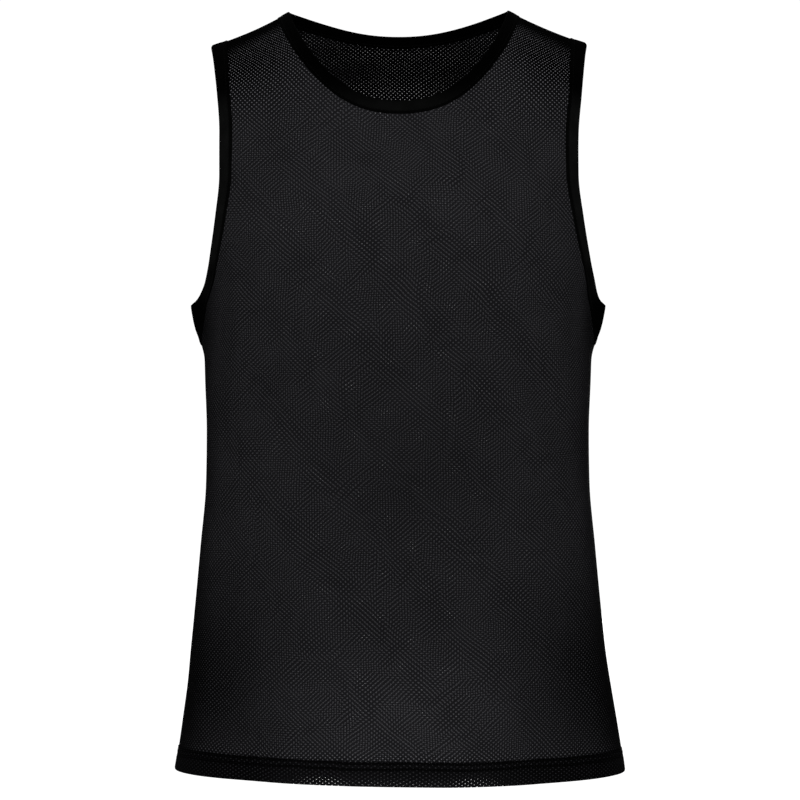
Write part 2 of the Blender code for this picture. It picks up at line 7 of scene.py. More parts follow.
import bmesh
import bpy
import numpy as np
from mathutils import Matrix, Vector


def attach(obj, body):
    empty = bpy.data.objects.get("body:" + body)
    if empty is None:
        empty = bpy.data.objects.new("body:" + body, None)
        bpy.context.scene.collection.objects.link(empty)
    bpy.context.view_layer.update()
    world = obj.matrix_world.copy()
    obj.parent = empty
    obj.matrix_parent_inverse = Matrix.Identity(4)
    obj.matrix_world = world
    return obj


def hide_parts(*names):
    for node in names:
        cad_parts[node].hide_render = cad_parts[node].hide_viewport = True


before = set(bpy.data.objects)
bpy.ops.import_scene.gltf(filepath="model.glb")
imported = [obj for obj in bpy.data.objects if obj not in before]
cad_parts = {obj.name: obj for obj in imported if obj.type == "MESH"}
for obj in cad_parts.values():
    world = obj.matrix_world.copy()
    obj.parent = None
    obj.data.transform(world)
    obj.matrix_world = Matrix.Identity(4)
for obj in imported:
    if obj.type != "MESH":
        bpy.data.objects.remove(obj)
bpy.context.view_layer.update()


# The front. One cut of black polyester hole-knit mesh with a scooped neck and deep armholes,
# filled out to the shape of a chest. Its edges run into the tapes, its sides into the seams.

CLOTH_THICK = 0.0008
SHOULDER_SEAM_SHARE = 0.45
TUCKED_IN = 0.0030
TAPE_WALL = 0.0026
NECK_TAPE = 0.0125
ARMHOLE_TAPE = 0.0160
HEM_DEPTH = 0.0220

# Heights from the origin.
HEM_HEIGHT = -0.7036
UNDERARM_HEIGHT = -0.2619
SHOULDER_START = -0.0900
NECK_POINT_HEIGHT = 0.0173
SHOULDER_ARC = 0.1300


def table(columns, *rows):
    """A list of rows with named columns."""
    row_of = namedtuple("row_of", columns)
    return [row_of(*row) for row in rows]


def column(rows, name):
    """One column of a table."""
    return [getattr(row, name) for row in rows]


def of_side(rows, side):
    """The rows of a table that are for the front, or for the back."""
    return [row for row in rows if row.side == side]


# Neck opening, seen from the front.
NECK_HALF_WIDTH = 0.1032
NECKLINES = table(
    "side drop round_bottom round_side",
    ("front", 0.0948, 2.35, 1.20),
    ("back", 0.0178, 2.24, 0.76),
)

# Shoulder line: it falls away from the neck point and is rounded off over the centre.
SHOULDER_FALL = 0.560
SHOULDER_EASE = 1.72
CENTRE_ROUND = 0.040

# Level sections of the form up to where the shoulders start to turn over.
BODY_SECTIONS = table(
    "height half_width front_depth back_depth squareness",
    (-0.7036, 0.2130, 0.1230, 0.1190, 1.85),
    (-0.6600, 0.2064, 0.1215, 0.1170, 1.95),
    (-0.6100, 0.1990, 0.1200, 0.1140, 2.05),
    (-0.5500, 0.1925, 0.1180, 0.1100, 2.15),
    (-0.4900, 0.1868, 0.1165, 0.1070, 2.25),
    (-0.4300, 0.1816, 0.1160, 0.1050, 2.30),
    (-0.3800, 0.1808, 0.1165, 0.1060, 2.35),
    (-0.3300, 0.1826, 0.1180, 0.1090, 2.40),
    (-0.2619, 0.1851, 0.1200, 0.1130, 2.45),
    (-0.2000, 0.1895, 0.1190, 0.1170, 2.50),
    (-0.1450, 0.1900, 0.1130, 0.1170, 2.50),
    (SHOULDER_START, 0.1900, 0.1000, 0.1080, 2.50),
)

# Sections that turn over the shoulders, by degrees of turn: 90 is the shoulder seam itself.
SHOULDER_SECTIONS = table(
    "turn half_width front_depth back_depth squareness",
    (15.0, 0.1900, 0.0975, 0.0910, 2.50),
    (30.0, 0.1905, 0.0840, 0.0620, 2.50),
    (45.0, 0.1910, 0.0590, 0.0400, 2.50),
    (60.0, 0.1912, 0.0350, 0.0265, 2.50),
    (75.0, 0.1914, 0.0160, 0.0140, 2.50),
    (90.0, 0.1915, 0.0000, 0.0000, 2.50),
)

# Armhole opening edge, seen from the front, from the underarm point up to the shoulder seam.
ARMHOLE_EDGE = table(
    "height half_width",
    (UNDERARM_HEIGHT, 0.1974),
    (-0.2571, 0.1915),
    (-0.2476, 0.1867),
    (-0.2381, 0.1831),
    (-0.2191, 0.1775),
    (-0.1811, 0.1705),
    (-0.1431, 0.1664),
    (-0.1051, 0.1668),
    (-0.0671, 0.1697),
    (-0.0291, 0.1752),
    (-0.0158, 0.1782),
)

# The underarm point stands out: both tapes are caught in the side seam and pinch together there.
PINCH_OUT = 0.0122
PINCH_BELOW = 0.0550
PINCH_ABOVE = 0.0105
PINCH_REACH = 0.0400
FLATTEN = 0.78
FLATTEN_BELOW = 0.1000
FLATTEN_ABOVE = 0.0800
FLATTEN_REACH = 0.0950

# Towards the underarm point more of the tape shows.
TAPE_WIDER = 0.0060
TAPE_WIDER_REACH = 0.0650

# How far under the underarm point, down the side seam, the armhole tape's sewn edge runs out.
TAPE_RUN_OUT = 0.0400
TAPE_RUN_OUT_START = 0.0200
RUN_OUT_LEAN = 1.00

# Soft folds: a row for each, mirrored where it lies off the centre line. Depth is outwards.
FOLDS = table(
    "side x height across along lean depth",
    ("front", 0.000, -0.150, 0.060, 0.070, 0.0, 0.0020),
    ("front", 0.121, -0.105, 0.030, 0.045, 0.0, -0.0030),
    ("front", 0.125, -0.195, 0.040, 0.045, 0.0, 0.0030),
    ("front", 0.135, -0.355, 0.016, 0.075, 28.0, -0.0030),
    ("front", 0.050, -0.395, 0.022, 0.050, 8.0, -0.0016),
    ("front", 0.000, -0.640, 0.070, 0.090, 0.0, 0.0040),
    ("front", 0.150, -0.650, 0.030, 0.090, -8.0, -0.0050),
    ("back", 0.000, -0.300, 0.030, 0.140, 0.0, -0.0035),
    ("back", 0.085, -0.210, 0.050, 0.070, -12.0, 0.0035),
    ("back", 0.130, -0.370, 0.016, 0.080, 30.0, -0.0032),
    ("back", 0.050, -0.600, 0.030, 0.110, 5.0, 0.0040),
    ("back", 0.130, -0.640, 0.028, 0.100, -6.0, -0.0045),
)

# Small creases that the sewing and the pull of the cloth leave, in the flat layout, none mirrored:
# where each lies across and up, how wide and how long it is, its lean and its depth outwards.
CREASES = table(
    "side across up wide long lean depth",
    ("front", -0.150, 0.352, 0.015, 0.060, -38, -0.0010),
    ("front", 0.156, 0.345, 0.016, 0.055, 36, -0.0010),
    ("front", -0.118, 0.292, 0.012, 0.060, -26, -0.0009),
    ("front", 0.124, 0.300, 0.011, 0.065, 30, -0.0010),
    ("front", -0.168, 0.250, 0.017, 0.050, -14, -0.0007),
    ("front", 0.172, 0.238, 0.018, 0.055, 12, -0.0007),
    ("front", -0.060, 0.210, 0.014, 0.060, -6, -0.0008),
    ("front", 0.046, 0.196, 0.014, 0.055, 9, -0.0008),
    ("front", -0.030, 0.110, 0.012, 0.080, -5, 0.0012),
    ("front", 0.052, 0.105, 0.013, 0.085, 8, 0.0011),
    ("front", -0.120, 0.090, 0.011, 0.075, -7, -0.0012),
    ("front", 0.128, 0.084, 0.012, 0.080, 6, -0.0012),
    ("front", -0.200, 0.075, 0.009, 0.060, -9, 0.0010),
    ("front", 0.204, 0.082, 0.010, 0.055, 8, 0.0010),
    ("front", -0.090, 0.560, 0.013, 0.055, 22, -0.0008),
    ("front", 0.095, 0.570, 0.012, 0.050, -24, -0.0008),
    ("back", -0.152, 0.340, 0.010, 0.060, -36, -0.0011),
    ("back", 0.148, 0.350, 0.009, 0.060, 40, -0.0011),
    ("back", -0.105, 0.300, 0.012, 0.070, -24, -0.0010),
    ("back", 0.112, 0.290, 0.012, 0.060, 28, -0.0009),
    ("back", -0.034, 0.400, 0.012, 0.120, -4, -0.0011),
    ("back", 0.030, 0.360, 0.012, 0.110, 5, -0.0010),
    ("back", -0.085, 0.150, 0.012, 0.090, -7, 0.0012),
    ("back", 0.070, 0.130, 0.013, 0.085, 6, 0.0012),
    ("back", -0.170, 0.110, 0.010, 0.075, -8, -0.0011),
    ("back", 0.178, 0.100, 0.010, 0.070, 9, -0.0011),
    ("back", 0.000, 0.090, 0.014, 0.070, 2, -0.0010),
    ("back", -0.100, 0.600, 0.014, 0.060, 18, -0.0009),
    ("back", 0.096, 0.590, 0.013, 0.055, -20, -0.0009),
)

# The cloth isn't even: where the knit is pulled open or lies closed, and how clear it is. Its yarn
# and the pale in its holes also carry painted light and painted shade, as the light falls on each
# part. Each row is a soft patch, and gives shares to add.
PATCHES = table(
    "side mirrored across up wide long holes yarn filament clear",
    ("front", False, 0.000, 0.560, 0.150, 0.080, 0.02, 0.10, 0.00, 0.0),
    ("front", False, 0.000, 0.330, 0.170, 0.150, 0.00, -0.10, -0.20, 0.0),
    ("front", True, 0.170, 0.690, 0.080, 0.060, -0.28, -1.15, 3.60, 0.0),
    ("front", False, 0.000, 0.060, 0.110, 0.055, 0.05, 0.30, 0.20, 0.0),
    ("front", False, 0.000, 0.150, 0.110, 0.060, 0.02, -0.08, -0.04, 0.0),
    ("front", True, 0.200, 0.095, 0.072, 0.090, 0.00, -0.68, -0.30, 0.0),
    ("front", False, 0.020, 0.275, 0.060, 0.045, 0.00, -0.12, -0.12, 0.0),
    ("front", False, -0.190, 0.360, 0.030, 0.045, 0.00, -0.18, -0.10, 0.0),
    ("front", False, 0.196, 0.330, 0.028, 0.050, 0.00, -0.18, -0.10, 0.0),
    ("front", True, 0.252, 0.060, 0.045, 0.110, 0.00, -0.40, -0.40, 0.0),
    ("front", False, 0.000, 0.026, 0.300, 0.012, 0.00, 0.00, 0.00, -0.7),
    ("front", False, 0.000, 0.0255, 0.300, 0.0028, 0.04, -0.25, 0.45, 0.0),
    ("back", False, 0.000, 0.700, 0.165, 0.075, 0.00, -0.94, 0.10, 0.58),
    ("back", True, 0.158, 0.690, 0.050, 0.055, -0.04, -0.60, 0.80, 0.0),
    ("back", False, 0.000, 0.430, 0.150, 0.130, 0.02, 0.10, -0.05, 0.0),
    ("back", False, 0.000, 0.070, 0.100, 0.060, 0.04, 0.30, 0.20, 0.0),
    ("back", False, 0.000, 0.0255, 0.300, 0.0028, 0.04, -0.25, 0.45, 0.0),
    ("back", True, 0.205, 0.100, 0.065, 0.090, 0.00, -0.45, -0.25, 0.0),
)

# No garment hangs quite even: how far it has settled sideways at each height, how the hem dips
# from side to side, and how much lower one shoulder lies.
SIDEWAYS = table(
    "place moved",
    (-0.7036, 0.0014),
    (-0.6900, 0.0016),
    (-0.6300, 0.0009),
    (-0.5800, -0.0004),
    (-0.4000, -0.0006),
    (-0.3140, -0.0004),
    (-0.2620, -0.0002),
    (-0.2380, 0.0016),
    (-0.2000, 0.0011),
    (-0.1200, 0.0004),
    (-0.0700, 0.0010),
    (-0.0200, 0.0006),
    (0.0160, 0.0000),
)
HEM_DIP = table(
    "place moved",
    (-0.2200, 0.0018),
    (-0.1000, 0.0009),
    (0.0000, 0.0003),
    (0.0600, -0.0009),
    (0.1300, -0.0011),
    (0.2200, 0.0000),
)
SHOULDER_DROP = 0.0023

# The hem's dip reaches this far up; the drop grows outwards from here, over this width, and
# upwards from here, over this height.
DIP_REACH = 0.12
DROP_FROM = 0.06
DROP_WIDTH = 0.08
DROP_LOWEST = -0.12
DROP_HEIGHT = 0.10

# Folds and creases fade out over the last of each section, so that front and back still meet.
FADED_AT_SIDE = 0.030

# How finely the form and the cloth are divided.
FORM_LEVELS = 401
FORM_ACROSS = 241
FORM_WIDEST = 0.3000
OUTLINE_POINTS = 320
SLOPE_STEP = 0.0025
NECK_STEPS = 56
SHOULDER_STEPS = 22
SIDE_STEPS = 140
ARMHOLE_STEPS = 104


def bent(t, start, start_lean, end, end_lean):
    """A curve from a start to an end, with a given lean at each."""
    return (
        (1 + 2 * t) * (1 - t) ** 2 * start
        + t * (1 - t) ** 2 * start_lean
        + t * t * (3 - 2 * t) * end
        + t * t * (t - 1) * end_lean
    )


def through_rows(places, values, at):
    """A smooth curve through table rows, that never swings past a row's own value."""
    places, values = np.array(places, float), np.array(values, float)
    gaps = np.diff(places)
    slopes = np.diff(values) / gaps
    lean = np.zeros_like(values)
    lean[0], lean[-1] = slopes[0], slopes[-1]
    for k in range(1, len(values) - 1):
        before, after = slopes[k - 1], slopes[k]
        if before * after > 0:
            near = 2 * gaps[k] + gaps[k - 1]
            far = gaps[k] + 2 * gaps[k - 1]
            lean[k] = (near + far) / (near / before + far / after)
    at = np.clip(at, places[0], places[-1])
    k = np.clip(np.searchsorted(places, at) - 1, 0, len(gaps) - 1)
    t = (at - places[k]) / gaps[k]
    return bent(t, values[k], gaps[k] * lean[k], values[k + 1], gaps[k] * lean[k + 1])


def eased(t):
    """0 to 1 with level ends."""
    t = np.clip(t, 0.0, 1.0)
    return t * t * (3 - 2 * t)


def soft_oval(beside, ahead, wide, long, lean=0.0):
    """1 in the middle of a leaning oval, fading out round it."""
    lean = np.radians(lean)
    side_on = beside * np.cos(lean) + ahead * np.sin(lean)
    end_on = ahead * np.cos(lean) - beside * np.sin(lean)
    return np.exp(-((side_on / wide) ** 2) - (end_on / long) ** 2)


def shoulder_line(x):
    """Height of the shoulder line at a distance x from the centre."""
    past_neck = np.hypot(x, CENTRE_ROUND) - np.hypot(NECK_HALF_WIDTH, CENTRE_ROUND)
    return NECK_POINT_HEIGHT - SHOULDER_FALL * past_neck + SHOULDER_EASE * past_neck**2


def path_lengths(points):
    """Distance along each row of points, from the row's start."""
    steps = np.linalg.norm(np.diff(points, axis=-2), axis=-1)
    start = np.zeros(steps.shape[:-1] + (1,))
    return np.concatenate([start, np.cumsum(steps, axis=-1)], axis=-1)


def between(points, stops, places):
    """Points at places along a row of points, whose own places are the stops."""
    return np.stack([np.interp(places, stops, values) for values in points.T], axis=-1)


def blend(lattice, u, v):
    """Values of a lattice at shares of its rows and of its columns."""
    rows, columns = lattice.shape[:2]
    u, v = np.clip(u, 0, 1) * (rows - 1), np.clip(v, 0, 1) * (columns - 1)
    i, j = np.minimum(u.astype(int), rows - 2), np.minimum(v.astype(int), columns - 2)
    s, t = u - i, v - j
    if lattice.ndim == 3:
        s, t = s[..., None], t[..., None]
    low = lattice[i, j] * (1 - t) + lattice[i, j + 1] * t
    high = lattice[i + 1, j] * (1 - t) + lattice[i + 1, j + 1] * t
    return low * (1 - s) + high * s


class Form:
    """One half of the worn form, front or back, and its flat layout."""

    def __init__(self, side):
        self.side = side
        self.facing = -1.0 if side == "front" else 1.0
        body_climb = SHOULDER_START - HEM_HEIGHT
        self.underarm_climb = UNDERARM_HEIGHT - HEM_HEIGHT
        climbs = [row.height - HEM_HEIGHT for row in BODY_SECTIONS]
        climbs += [body_climb + SHOULDER_ARC * row.turn / 90 for row in SHOULDER_SECTIONS]
        rows = BODY_SECTIONS + SHOULDER_SECTIONS
        self.climb = np.linspace(0.0, body_climb + SHOULDER_ARC, FORM_LEVELS)
        half_width, depth, square = (
            through_rows(climbs, column(rows, name), self.climb)[:, None]
            for name in ("half_width", side + "_depth", "squareness")
        )
        turn = np.radians(90 * np.clip((self.climb - body_climb) / SHOULDER_ARC, 0, 1))
        level = HEM_HEIGHT + np.minimum(self.climb, body_climb)

        # Level sections: x and depth from the angle round the section, 0 at the centre line.
        angle = np.linspace(0.0, np.pi / 2, 4 * FORM_ACROSS)
        x = half_width * np.sin(angle) ** (2 / square)
        y = depth * np.abs(np.cos(angle)) ** (2 / square)
        y[:, -1] = 0.0
        z = level[:, None] + (shoulder_line(x) - SHOULDER_START) * np.sin(turn)[:, None]
        x, y = self.folded(x, y, z, half_width, depth)
        points = self.pinched(np.stack([x, self.facing * y, z], axis=-1))

        # The same sections, in equal steps measured along the cloth.
        lengths = path_lengths(points)
        self.reach = lengths[:, -1]
        share = np.linspace(0.0, 1.0, FORM_ACROSS)
        levels = range(FORM_LEVELS)
        stops = lengths / self.reach[:, None]
        self.sections = np.stack([between(points[i], stops[i], share) for i in levels])

        # The flat layout: columns a fixed distance from the centre line, measured up the cloth.
        self.across = np.linspace(0.0, FORM_WIDEST, FORM_ACROSS)
        columns = [between(self.sections[i], share, self.across / self.reach[i]) for i in levels]
        self.up_at_level = path_lengths(np.stack(columns, axis=1))
        self.column_top = self.up_at_level[:, -1]
        steps = np.linspace(0.0, 1.0, FORM_LEVELS)
        self.level_at = np.array([np.interp(steps * up[-1], up, levels) for up in self.up_at_level])
        self.side_up = np.array(
            [np.interp(self.reach[i], self.across, self.up_at_level[:, i]) for i in levels]
        )

    def folded(self, x, y, z, half_width, depth):
        """Adds the soft folds, each pushed out or in square to the section."""
        away = sum(
            fold.depth * soft_oval(x - fold.x, z - fold.height, fold.across, fold.along, fold.lean)
            for fold in of_side(FOLDS, self.side)
        )
        steep = np.stack([x / half_width**2, y / np.maximum(depth, 0.02) ** 2])
        steep /= np.maximum(np.linalg.norm(steep, axis=0), 1e-9)
        away *= eased(y / FADED_AT_SIDE)
        return x + away * steep[0], y + away * steep[1]

    def pinched(self, points):
        """Draws the sections together at the underarm point, and the point outwards."""
        from_side = path_lengths(points[:, ::-1])[:, ::-1]
        above = (self.climb - self.underarm_climb)[:, None]
        out = np.where(
            above < 0, 1 - eased(-above / PINCH_BELOW), np.exp(-np.abs(above) / PINCH_ABOVE)
        )
        flat = 1 - np.where(above < 0, eased(-above / FLATTEN_BELOW), eased(above / FLATTEN_ABOVE))
        t = np.clip(from_side / PINCH_REACH, 0, 1)
        moved = points.copy()
        moved[..., 0] += PINCH_OUT * out * (1 - t) ** 2
        t = np.clip(from_side / FLATTEN_REACH, 0, 1)
        moved[..., 1] *= 1 - FLATTEN * flat * (1 - t * t) ** 2
        return moved

    def flat_of(self, x, z):
        """The flat place of the form's point that is seen from the front at x, z."""
        heights = [np.interp(x, row[:, 0], row[:, 2]) for row in self.sections]
        level = np.interp(z, heights, range(FORM_LEVELS))
        low = min(int(level), FORM_LEVELS - 2)
        share = np.linspace(0.0, 1.0, FORM_ACROSS)
        place = []
        for i in (low, low + 1):
            across = np.interp(x, self.sections[i, :, 0], share) * self.reach[i]
            place.append(np.array([across, np.interp(across, self.across, self.up_at_level[:, i])]))
        t = level - low
        return place[0] * (1 - t) + place[1] * t

    def at(self, across, up):
        """Points of the form at flat places; across may be on either side of the centre line."""
        side = np.where(np.asarray(across) < 0, -1.0, 1.0)
        across = np.abs(across)
        v = np.clip(up / np.interp(across, self.across, self.column_top), 0, 1)
        level = blend(self.level_at, across / FORM_WIDEST, v)
        share = across / np.interp(level, range(FORM_LEVELS), self.reach)
        points = blend(self.sections, level / (FORM_LEVELS - 1), share)
        points[..., 0] *= side
        return points

    def slopes(self, across, up):
        """How a point of the form moves for a step across and for a step up, on one half."""
        right = np.minimum(across + SLOPE_STEP, self.side_reach(up))
        top = np.minimum(up + SLOPE_STEP, self.shoulder_up(across))
        along = self.at(right, up) - self.at(right - 2 * SLOPE_STEP, up)
        climb = self.at(across, top) - self.at(across, top - 2 * SLOPE_STEP)
        return along / (2 * SLOPE_STEP), climb / (2 * SLOPE_STEP)

    def outwards(self, across, up):
        """Unit normals at flat places, pointing away from the wearer."""
        along, climb = self.slopes(np.abs(across), up)
        normal = np.cross(along, climb) * -self.facing
        normal[..., 0] *= np.where(across < 0, -1.0, 1.0)
        return normal / np.linalg.norm(normal, axis=-1, keepdims=True)

    def square_step(self, place, along, width):
        """Flat steps that lead a true width away from a line, square to it on the cloth."""
        step = np.zeros_like(place)
        for _ in range(3):
            half_way = place + step / 2
            right, climb = self.slopes(half_way[:, 0], half_way[:, 1])
            true = right * along[:, :1] + climb * along[:, 1:]
            step = np.stack([np.sum(true * climb, axis=1), -np.sum(true * right, axis=1)], axis=1)
            true_step = right * step[:, :1] + climb * step[:, 1:]
            step *= width / np.linalg.norm(true_step, axis=1, keepdims=True)
        return step

    def side_reach(self, up):
        """Half width of the flat layout at a height up the side seam."""
        return np.interp(up, self.side_up, self.reach)

    def shoulder_up(self, across):
        """Height of the shoulder seam on the flat layout."""
        return np.interp(np.abs(across), self.across, self.column_top)


def smooth_directions(line):
    """Unit directions along a flat outline."""
    along = np.gradient(line, axis=0)
    return along / np.linalg.norm(along, axis=1, keepdims=True)


def neck_edge(form):
    """Flat opening edge of the neck, from the centre line to the shoulder seam."""
    shape = of_side(NECKLINES, form.side)[0]
    turn = np.linspace(0.0, np.pi / 2, OUTLINE_POINTS)
    x = NECK_HALF_WIDTH * np.sin(turn) ** (2 / shape.round_bottom)
    z = NECK_POINT_HEIGHT - shape.drop * np.cos(turn) ** (2 / shape.round_side)
    line = np.array([form.flat_of(*place) for place in zip(x, z)])
    line[-1, 1] = form.shoulder_up(line[-1, 0])
    return line


def armhole_edge(form):
    """Flat opening edge of the armhole, from the underarm point to the shoulder seam."""
    z = np.linspace(ARMHOLE_EDGE[0].height, ARMHOLE_EDGE[-1].height, OUTLINE_POINTS)
    x = through_rows(column(ARMHOLE_EDGE, "height"), column(ARMHOLE_EDGE, "half_width"), z)
    line = np.array([form.flat_of(*place) for place in zip(x, z)])
    line[0, 1] = np.interp(UNDERARM_HEIGHT - HEM_HEIGHT, form.climb, form.side_up)
    line[0, 0] = form.side_reach(line[0, 1])
    line[-1, 1] = form.shoulder_up(line[-1, 0])
    return line


def set_in(form, line, width, seam_way, wider=0.0):
    """The outline a tape's width in from an opening edge; its far end is kept on the seam."""
    from_start = path_lengths(line)[:, None]
    widths = width + wider * (1 - eased(from_start / TAPE_WIDER_REACH))
    moved = line + form.square_step(line, smooth_directions(line), widths)
    # Near the seam the tape turns until it ends along it.
    end_across = line[-1, 0] + seam_way * abs(width)
    end = np.array([end_across, form.shoulder_up(end_across)])
    left = (path_lengths(line)[-1] - path_lengths(line)) / (1.5 * abs(width))
    blend = (1 - eased(left))[:, None]
    return moved * (1 - blend) + (moved - moved[-1] + end) * blend


def at_shares(line, lengths, shares):
    """Points of an outline at given shares of a run of lengths, one length for each point."""
    return between(line, lengths, shares * lengths[-1])


def moved_in(form, line, width, share_way):
    """An outline moved a true width aside on the cloth, its ends kept on their seams."""
    moved = line + form.square_step(line, smooth_directions(line), width)
    moved[-1, 1] = form.shoulder_up(moved[-1, 0])
    if share_way:
        moved[0, 0] = form.side_reach(moved[0, 1])
    else:
        moved[0, 0] = 0.0
    return moved


def run_out(form, opening, far_edge):
    """Turns a tape's far edge down until it meets the side seam under the underarm point."""
    lengths = path_lengths(opening)
    turn = int(np.searchsorted(lengths, TAPE_RUN_OUT_START))
    meeting_up = opening[0, 1] - TAPE_RUN_OUT
    start = np.array([form.side_reach(meeting_up), meeting_up])
    end = far_edge[turn]
    gap = np.linalg.norm(end - start)
    below = meeting_up - 0.01
    down_seam = start - np.array([form.side_reach(below), below])
    lean_out = down_seam / np.linalg.norm(down_seam) * gap - np.array([RUN_OUT_LEAN, 0.0]) * gap
    lean_in = smooth_directions(far_edge)[turn] * gap
    t = (lengths[: turn + 1] / lengths[turn])[:, None]
    return np.concatenate([bent(t, start, lean_out, end, lean_in), far_edge[turn + 1 :]])


class Half:
    """The front or the back: its form, and the edges of its tapes on the flat layout."""

    def __init__(self, side):
        self.side = side
        self.form = Form(side)
        self.neck = neck_edge(self.form)
        self.neck_sewn = set_in(self.form, self.neck, NECK_TAPE, 1.0)
        self.armhole = armhole_edge(self.form)
        sewn = set_in(self.form, self.armhole, -ARMHOLE_TAPE, -1.0, -TAPE_WIDER)
        self.armhole_sewn = run_out(self.form, self.armhole, sewn)

    def creased(self, across, up):
        """How far the small creases stand out or in at flat places."""
        out = sum(
            row.depth * soft_oval(across - row.across, up - row.up, row.wide, row.long, row.lean)
            for row in of_side(CREASES, self.side)
        )
        from_side = self.form.side_reach(up) - np.abs(across)
        return out * eased(from_side / FADED_AT_SIDE)

    def laid(self, across, up, out=0.0):
        """Points on the worn form at flat places, and a distance outwards."""
        points = self.form.at(across, up)
        outwards = self.form.outwards(across, up)
        points += outwards * (self.creased(across, up) + out)[..., None]
        return settled(points)

    def patched(self, across, up):
        """The marks that the patches leave at flat places: uneven knit, and painted light and
        painted shade.
        """
        marks = {name: np.ones(np.shape(across)) for name in ("holes", "yarn", "filament", "clear")}
        for row in of_side(PATCHES, self.side):
            for middle in (-row.across, row.across) if row.mirrored else (row.across,):
                strength = soft_oval(across - middle, up - row.up, row.wide, row.long)
                for name in marks:
                    marks[name] += getattr(row, name) * strength
        return marks


def settled(points):
    """Moves points of the even form to where the cloth has settled."""
    x, z = points[..., 0].copy(), points[..., 2].copy()
    points[..., 0] += through_rows(column(SIDEWAYS, "place"), column(SIDEWAYS, "moved"), z)
    dip = through_rows(column(HEM_DIP, "place"), column(HEM_DIP, "moved"), x)
    near_hem = eased((HEM_HEIGHT + DIP_REACH - z) / DIP_REACH)
    near_shoulder = eased((-x - DROP_FROM) / DROP_WIDTH) * eased((z - DROP_LOWEST) / DROP_HEIGHT)
    points[..., 2] += dip * near_hem - SHOULDER_DROP * near_shoulder
    return points


def grid_mesh(name, points, finish, marks, round_rows=False, round_columns=False):
    """A mesh over a grid of points; a mark is a number at every point, which the finish reads."""
    rows, columns = points.shape[:2]
    i, j = np.meshgrid(
        np.arange(rows if round_rows else rows - 1),
        np.arange(columns if round_columns else columns - 1),
        indexing="ij",
    )
    next_i, next_j = (i + 1) % rows, (j + 1) % columns
    faces = np.stack(
        [i * columns + j, i * columns + next_j, next_i * columns + next_j, next_i * columns + j],
        axis=-1,
    ).reshape(-1, 4)
    return mesh_of(name, points.reshape(-1, 3), faces, finish, marks)


def mesh_of(name, vertices, faces, finish, marks):
    mesh = bpy.data.meshes.new(name)
    mesh.from_pydata(vertices.tolist(), [], faces.tolist())
    for mark, values in marks.items():
        layer = mesh.attributes.new(mark, "FLOAT", "POINT")
        layer.data.foreach_set("value", np.ascontiguousarray(values, dtype=np.float32).ravel())
    mesh.shade_smooth()
    mesh.materials.append(finish)
    piece = bpy.data.objects.new(name, mesh)
    bpy.context.scene.collection.objects.link(piece)
    return piece


def thickened(piece, thickness):
    """Gives a sheet its two faces, half the thickness to either side."""
    doubled = piece.modifiers.new("thickness", "SOLIDIFY")
    doubled.thickness = thickness
    doubled.offset = 0.0
    doubled.use_even_offset = False


class Finish:
    """A material, with short words for the nodes that its pattern is drawn with."""

    def __init__(self, name, colour, roughness):
        self.material = bpy.data.materials.new(name)
        self.material.use_nodes = True
        self.tree = self.material.node_tree
        self.shader = self.tree.nodes["Principled BSDF"]
        self.set(colour, "Base Color")
        self.set(roughness, "Roughness")

    def put(self, socket, value):
        """Links a node's output to a socket, or sets the socket; three numbers are a colour."""
        if isinstance(value, bpy.types.NodeSocket):
            self.tree.links.new(value, socket)
        elif isinstance(value, tuple):
            socket.default_value = (*value, 1.0)
        elif value is not None:
            socket.default_value = value

    def set(self, value, socket):
        self.put(self.shader.inputs[socket], value)

    def add(self, kind, **choices):
        node = self.tree.nodes.new(kind)
        for choice, value in choices.items():
            setattr(node, choice, value)
        return node

    def fed(self, node, *values):
        """Puts values on a node's sockets in order and returns its first output."""
        for socket, value in zip(node.inputs, values):
            self.put(socket, value)
        return node.outputs[0]

    def mark(self, name):
        return self.add("ShaderNodeAttribute", attribute_name=name).outputs["Fac"]

    def sum(self, operation, *values):
        return self.fed(self.add("ShaderNodeMath", operation=operation), *values)

    def times(self, first, second):
        return self.sum("MULTIPLY", first, second)

    def shifted(self, value, share, start):
        """A value times a share, from a start."""
        return self.sum("MULTIPLY_ADD", value, share, start)

    def waves(self, place, apart):
        """Ridges a distance apart, from -1 to 1."""
        return self.sum("SINE", self.times(place, 2 * np.pi / apart))

    def ramp(self, value, low, high, out_low=0.0, out_high=1.0):
        node = self.add("ShaderNodeMapRange", interpolation_type="SMOOTHSTEP")
        return self.fed(node, value, low, high, out_low, out_high)

    def place(self, across, up, third=0.0):
        return self.fed(self.add("ShaderNodeCombineXYZ"), across, up, third)

    def clouds(self, place, scale, detail=2.0):
        node = self.add("ShaderNodeTexNoise")
        for name, value in (("Vector", place), ("Scale", scale), ("Detail", detail)):
            self.put(node.inputs[name], value)
        return node.outputs[0]

    def drifting(self, place, scale, detail=2.0):
        """Clouds round 0, to push a place to and fro with."""
        return self.sum("SUBTRACT", self.clouds(place, scale, detail), 0.5)

    def mixed(self, share, first, second):
        node = self.add("ShaderNodeMix", data_type="RGBA")
        self.fed(node, share)
        for name, value in (("A", first), ("B", second)):
            self.put(next(s for s in node.inputs if s.name == name and s.enabled), value)
        return next(s for s in node.outputs if s.enabled)

    def scaled(self, colour, share):
        node = self.add("ShaderNodeVectorMath", operation="SCALE")
        self.put(node.inputs["Scale"], share)
        return self.fed(node, colour)

    def raised(self, height, depth):
        """Relief from a height, which is 0 to 1 for the depth in metres."""
        node = self.add("ShaderNodeBump")
        for name, value in (("Distance", depth), ("Strength", 1.0), ("Height", height)):
            self.put(node.inputs[name], value)
        self.set(node.outputs[0], "Normal")


# A knit: the size of its cell, which has a hole in its middle and one at its corners, the size of a
# hole, where the first one lies, and how much of a hole's middle is open and how clear it is.
Knit = namedtuple(
    "Knit", "cell_across cell_up hole_wide hole_high start_across start_up open clear"
)

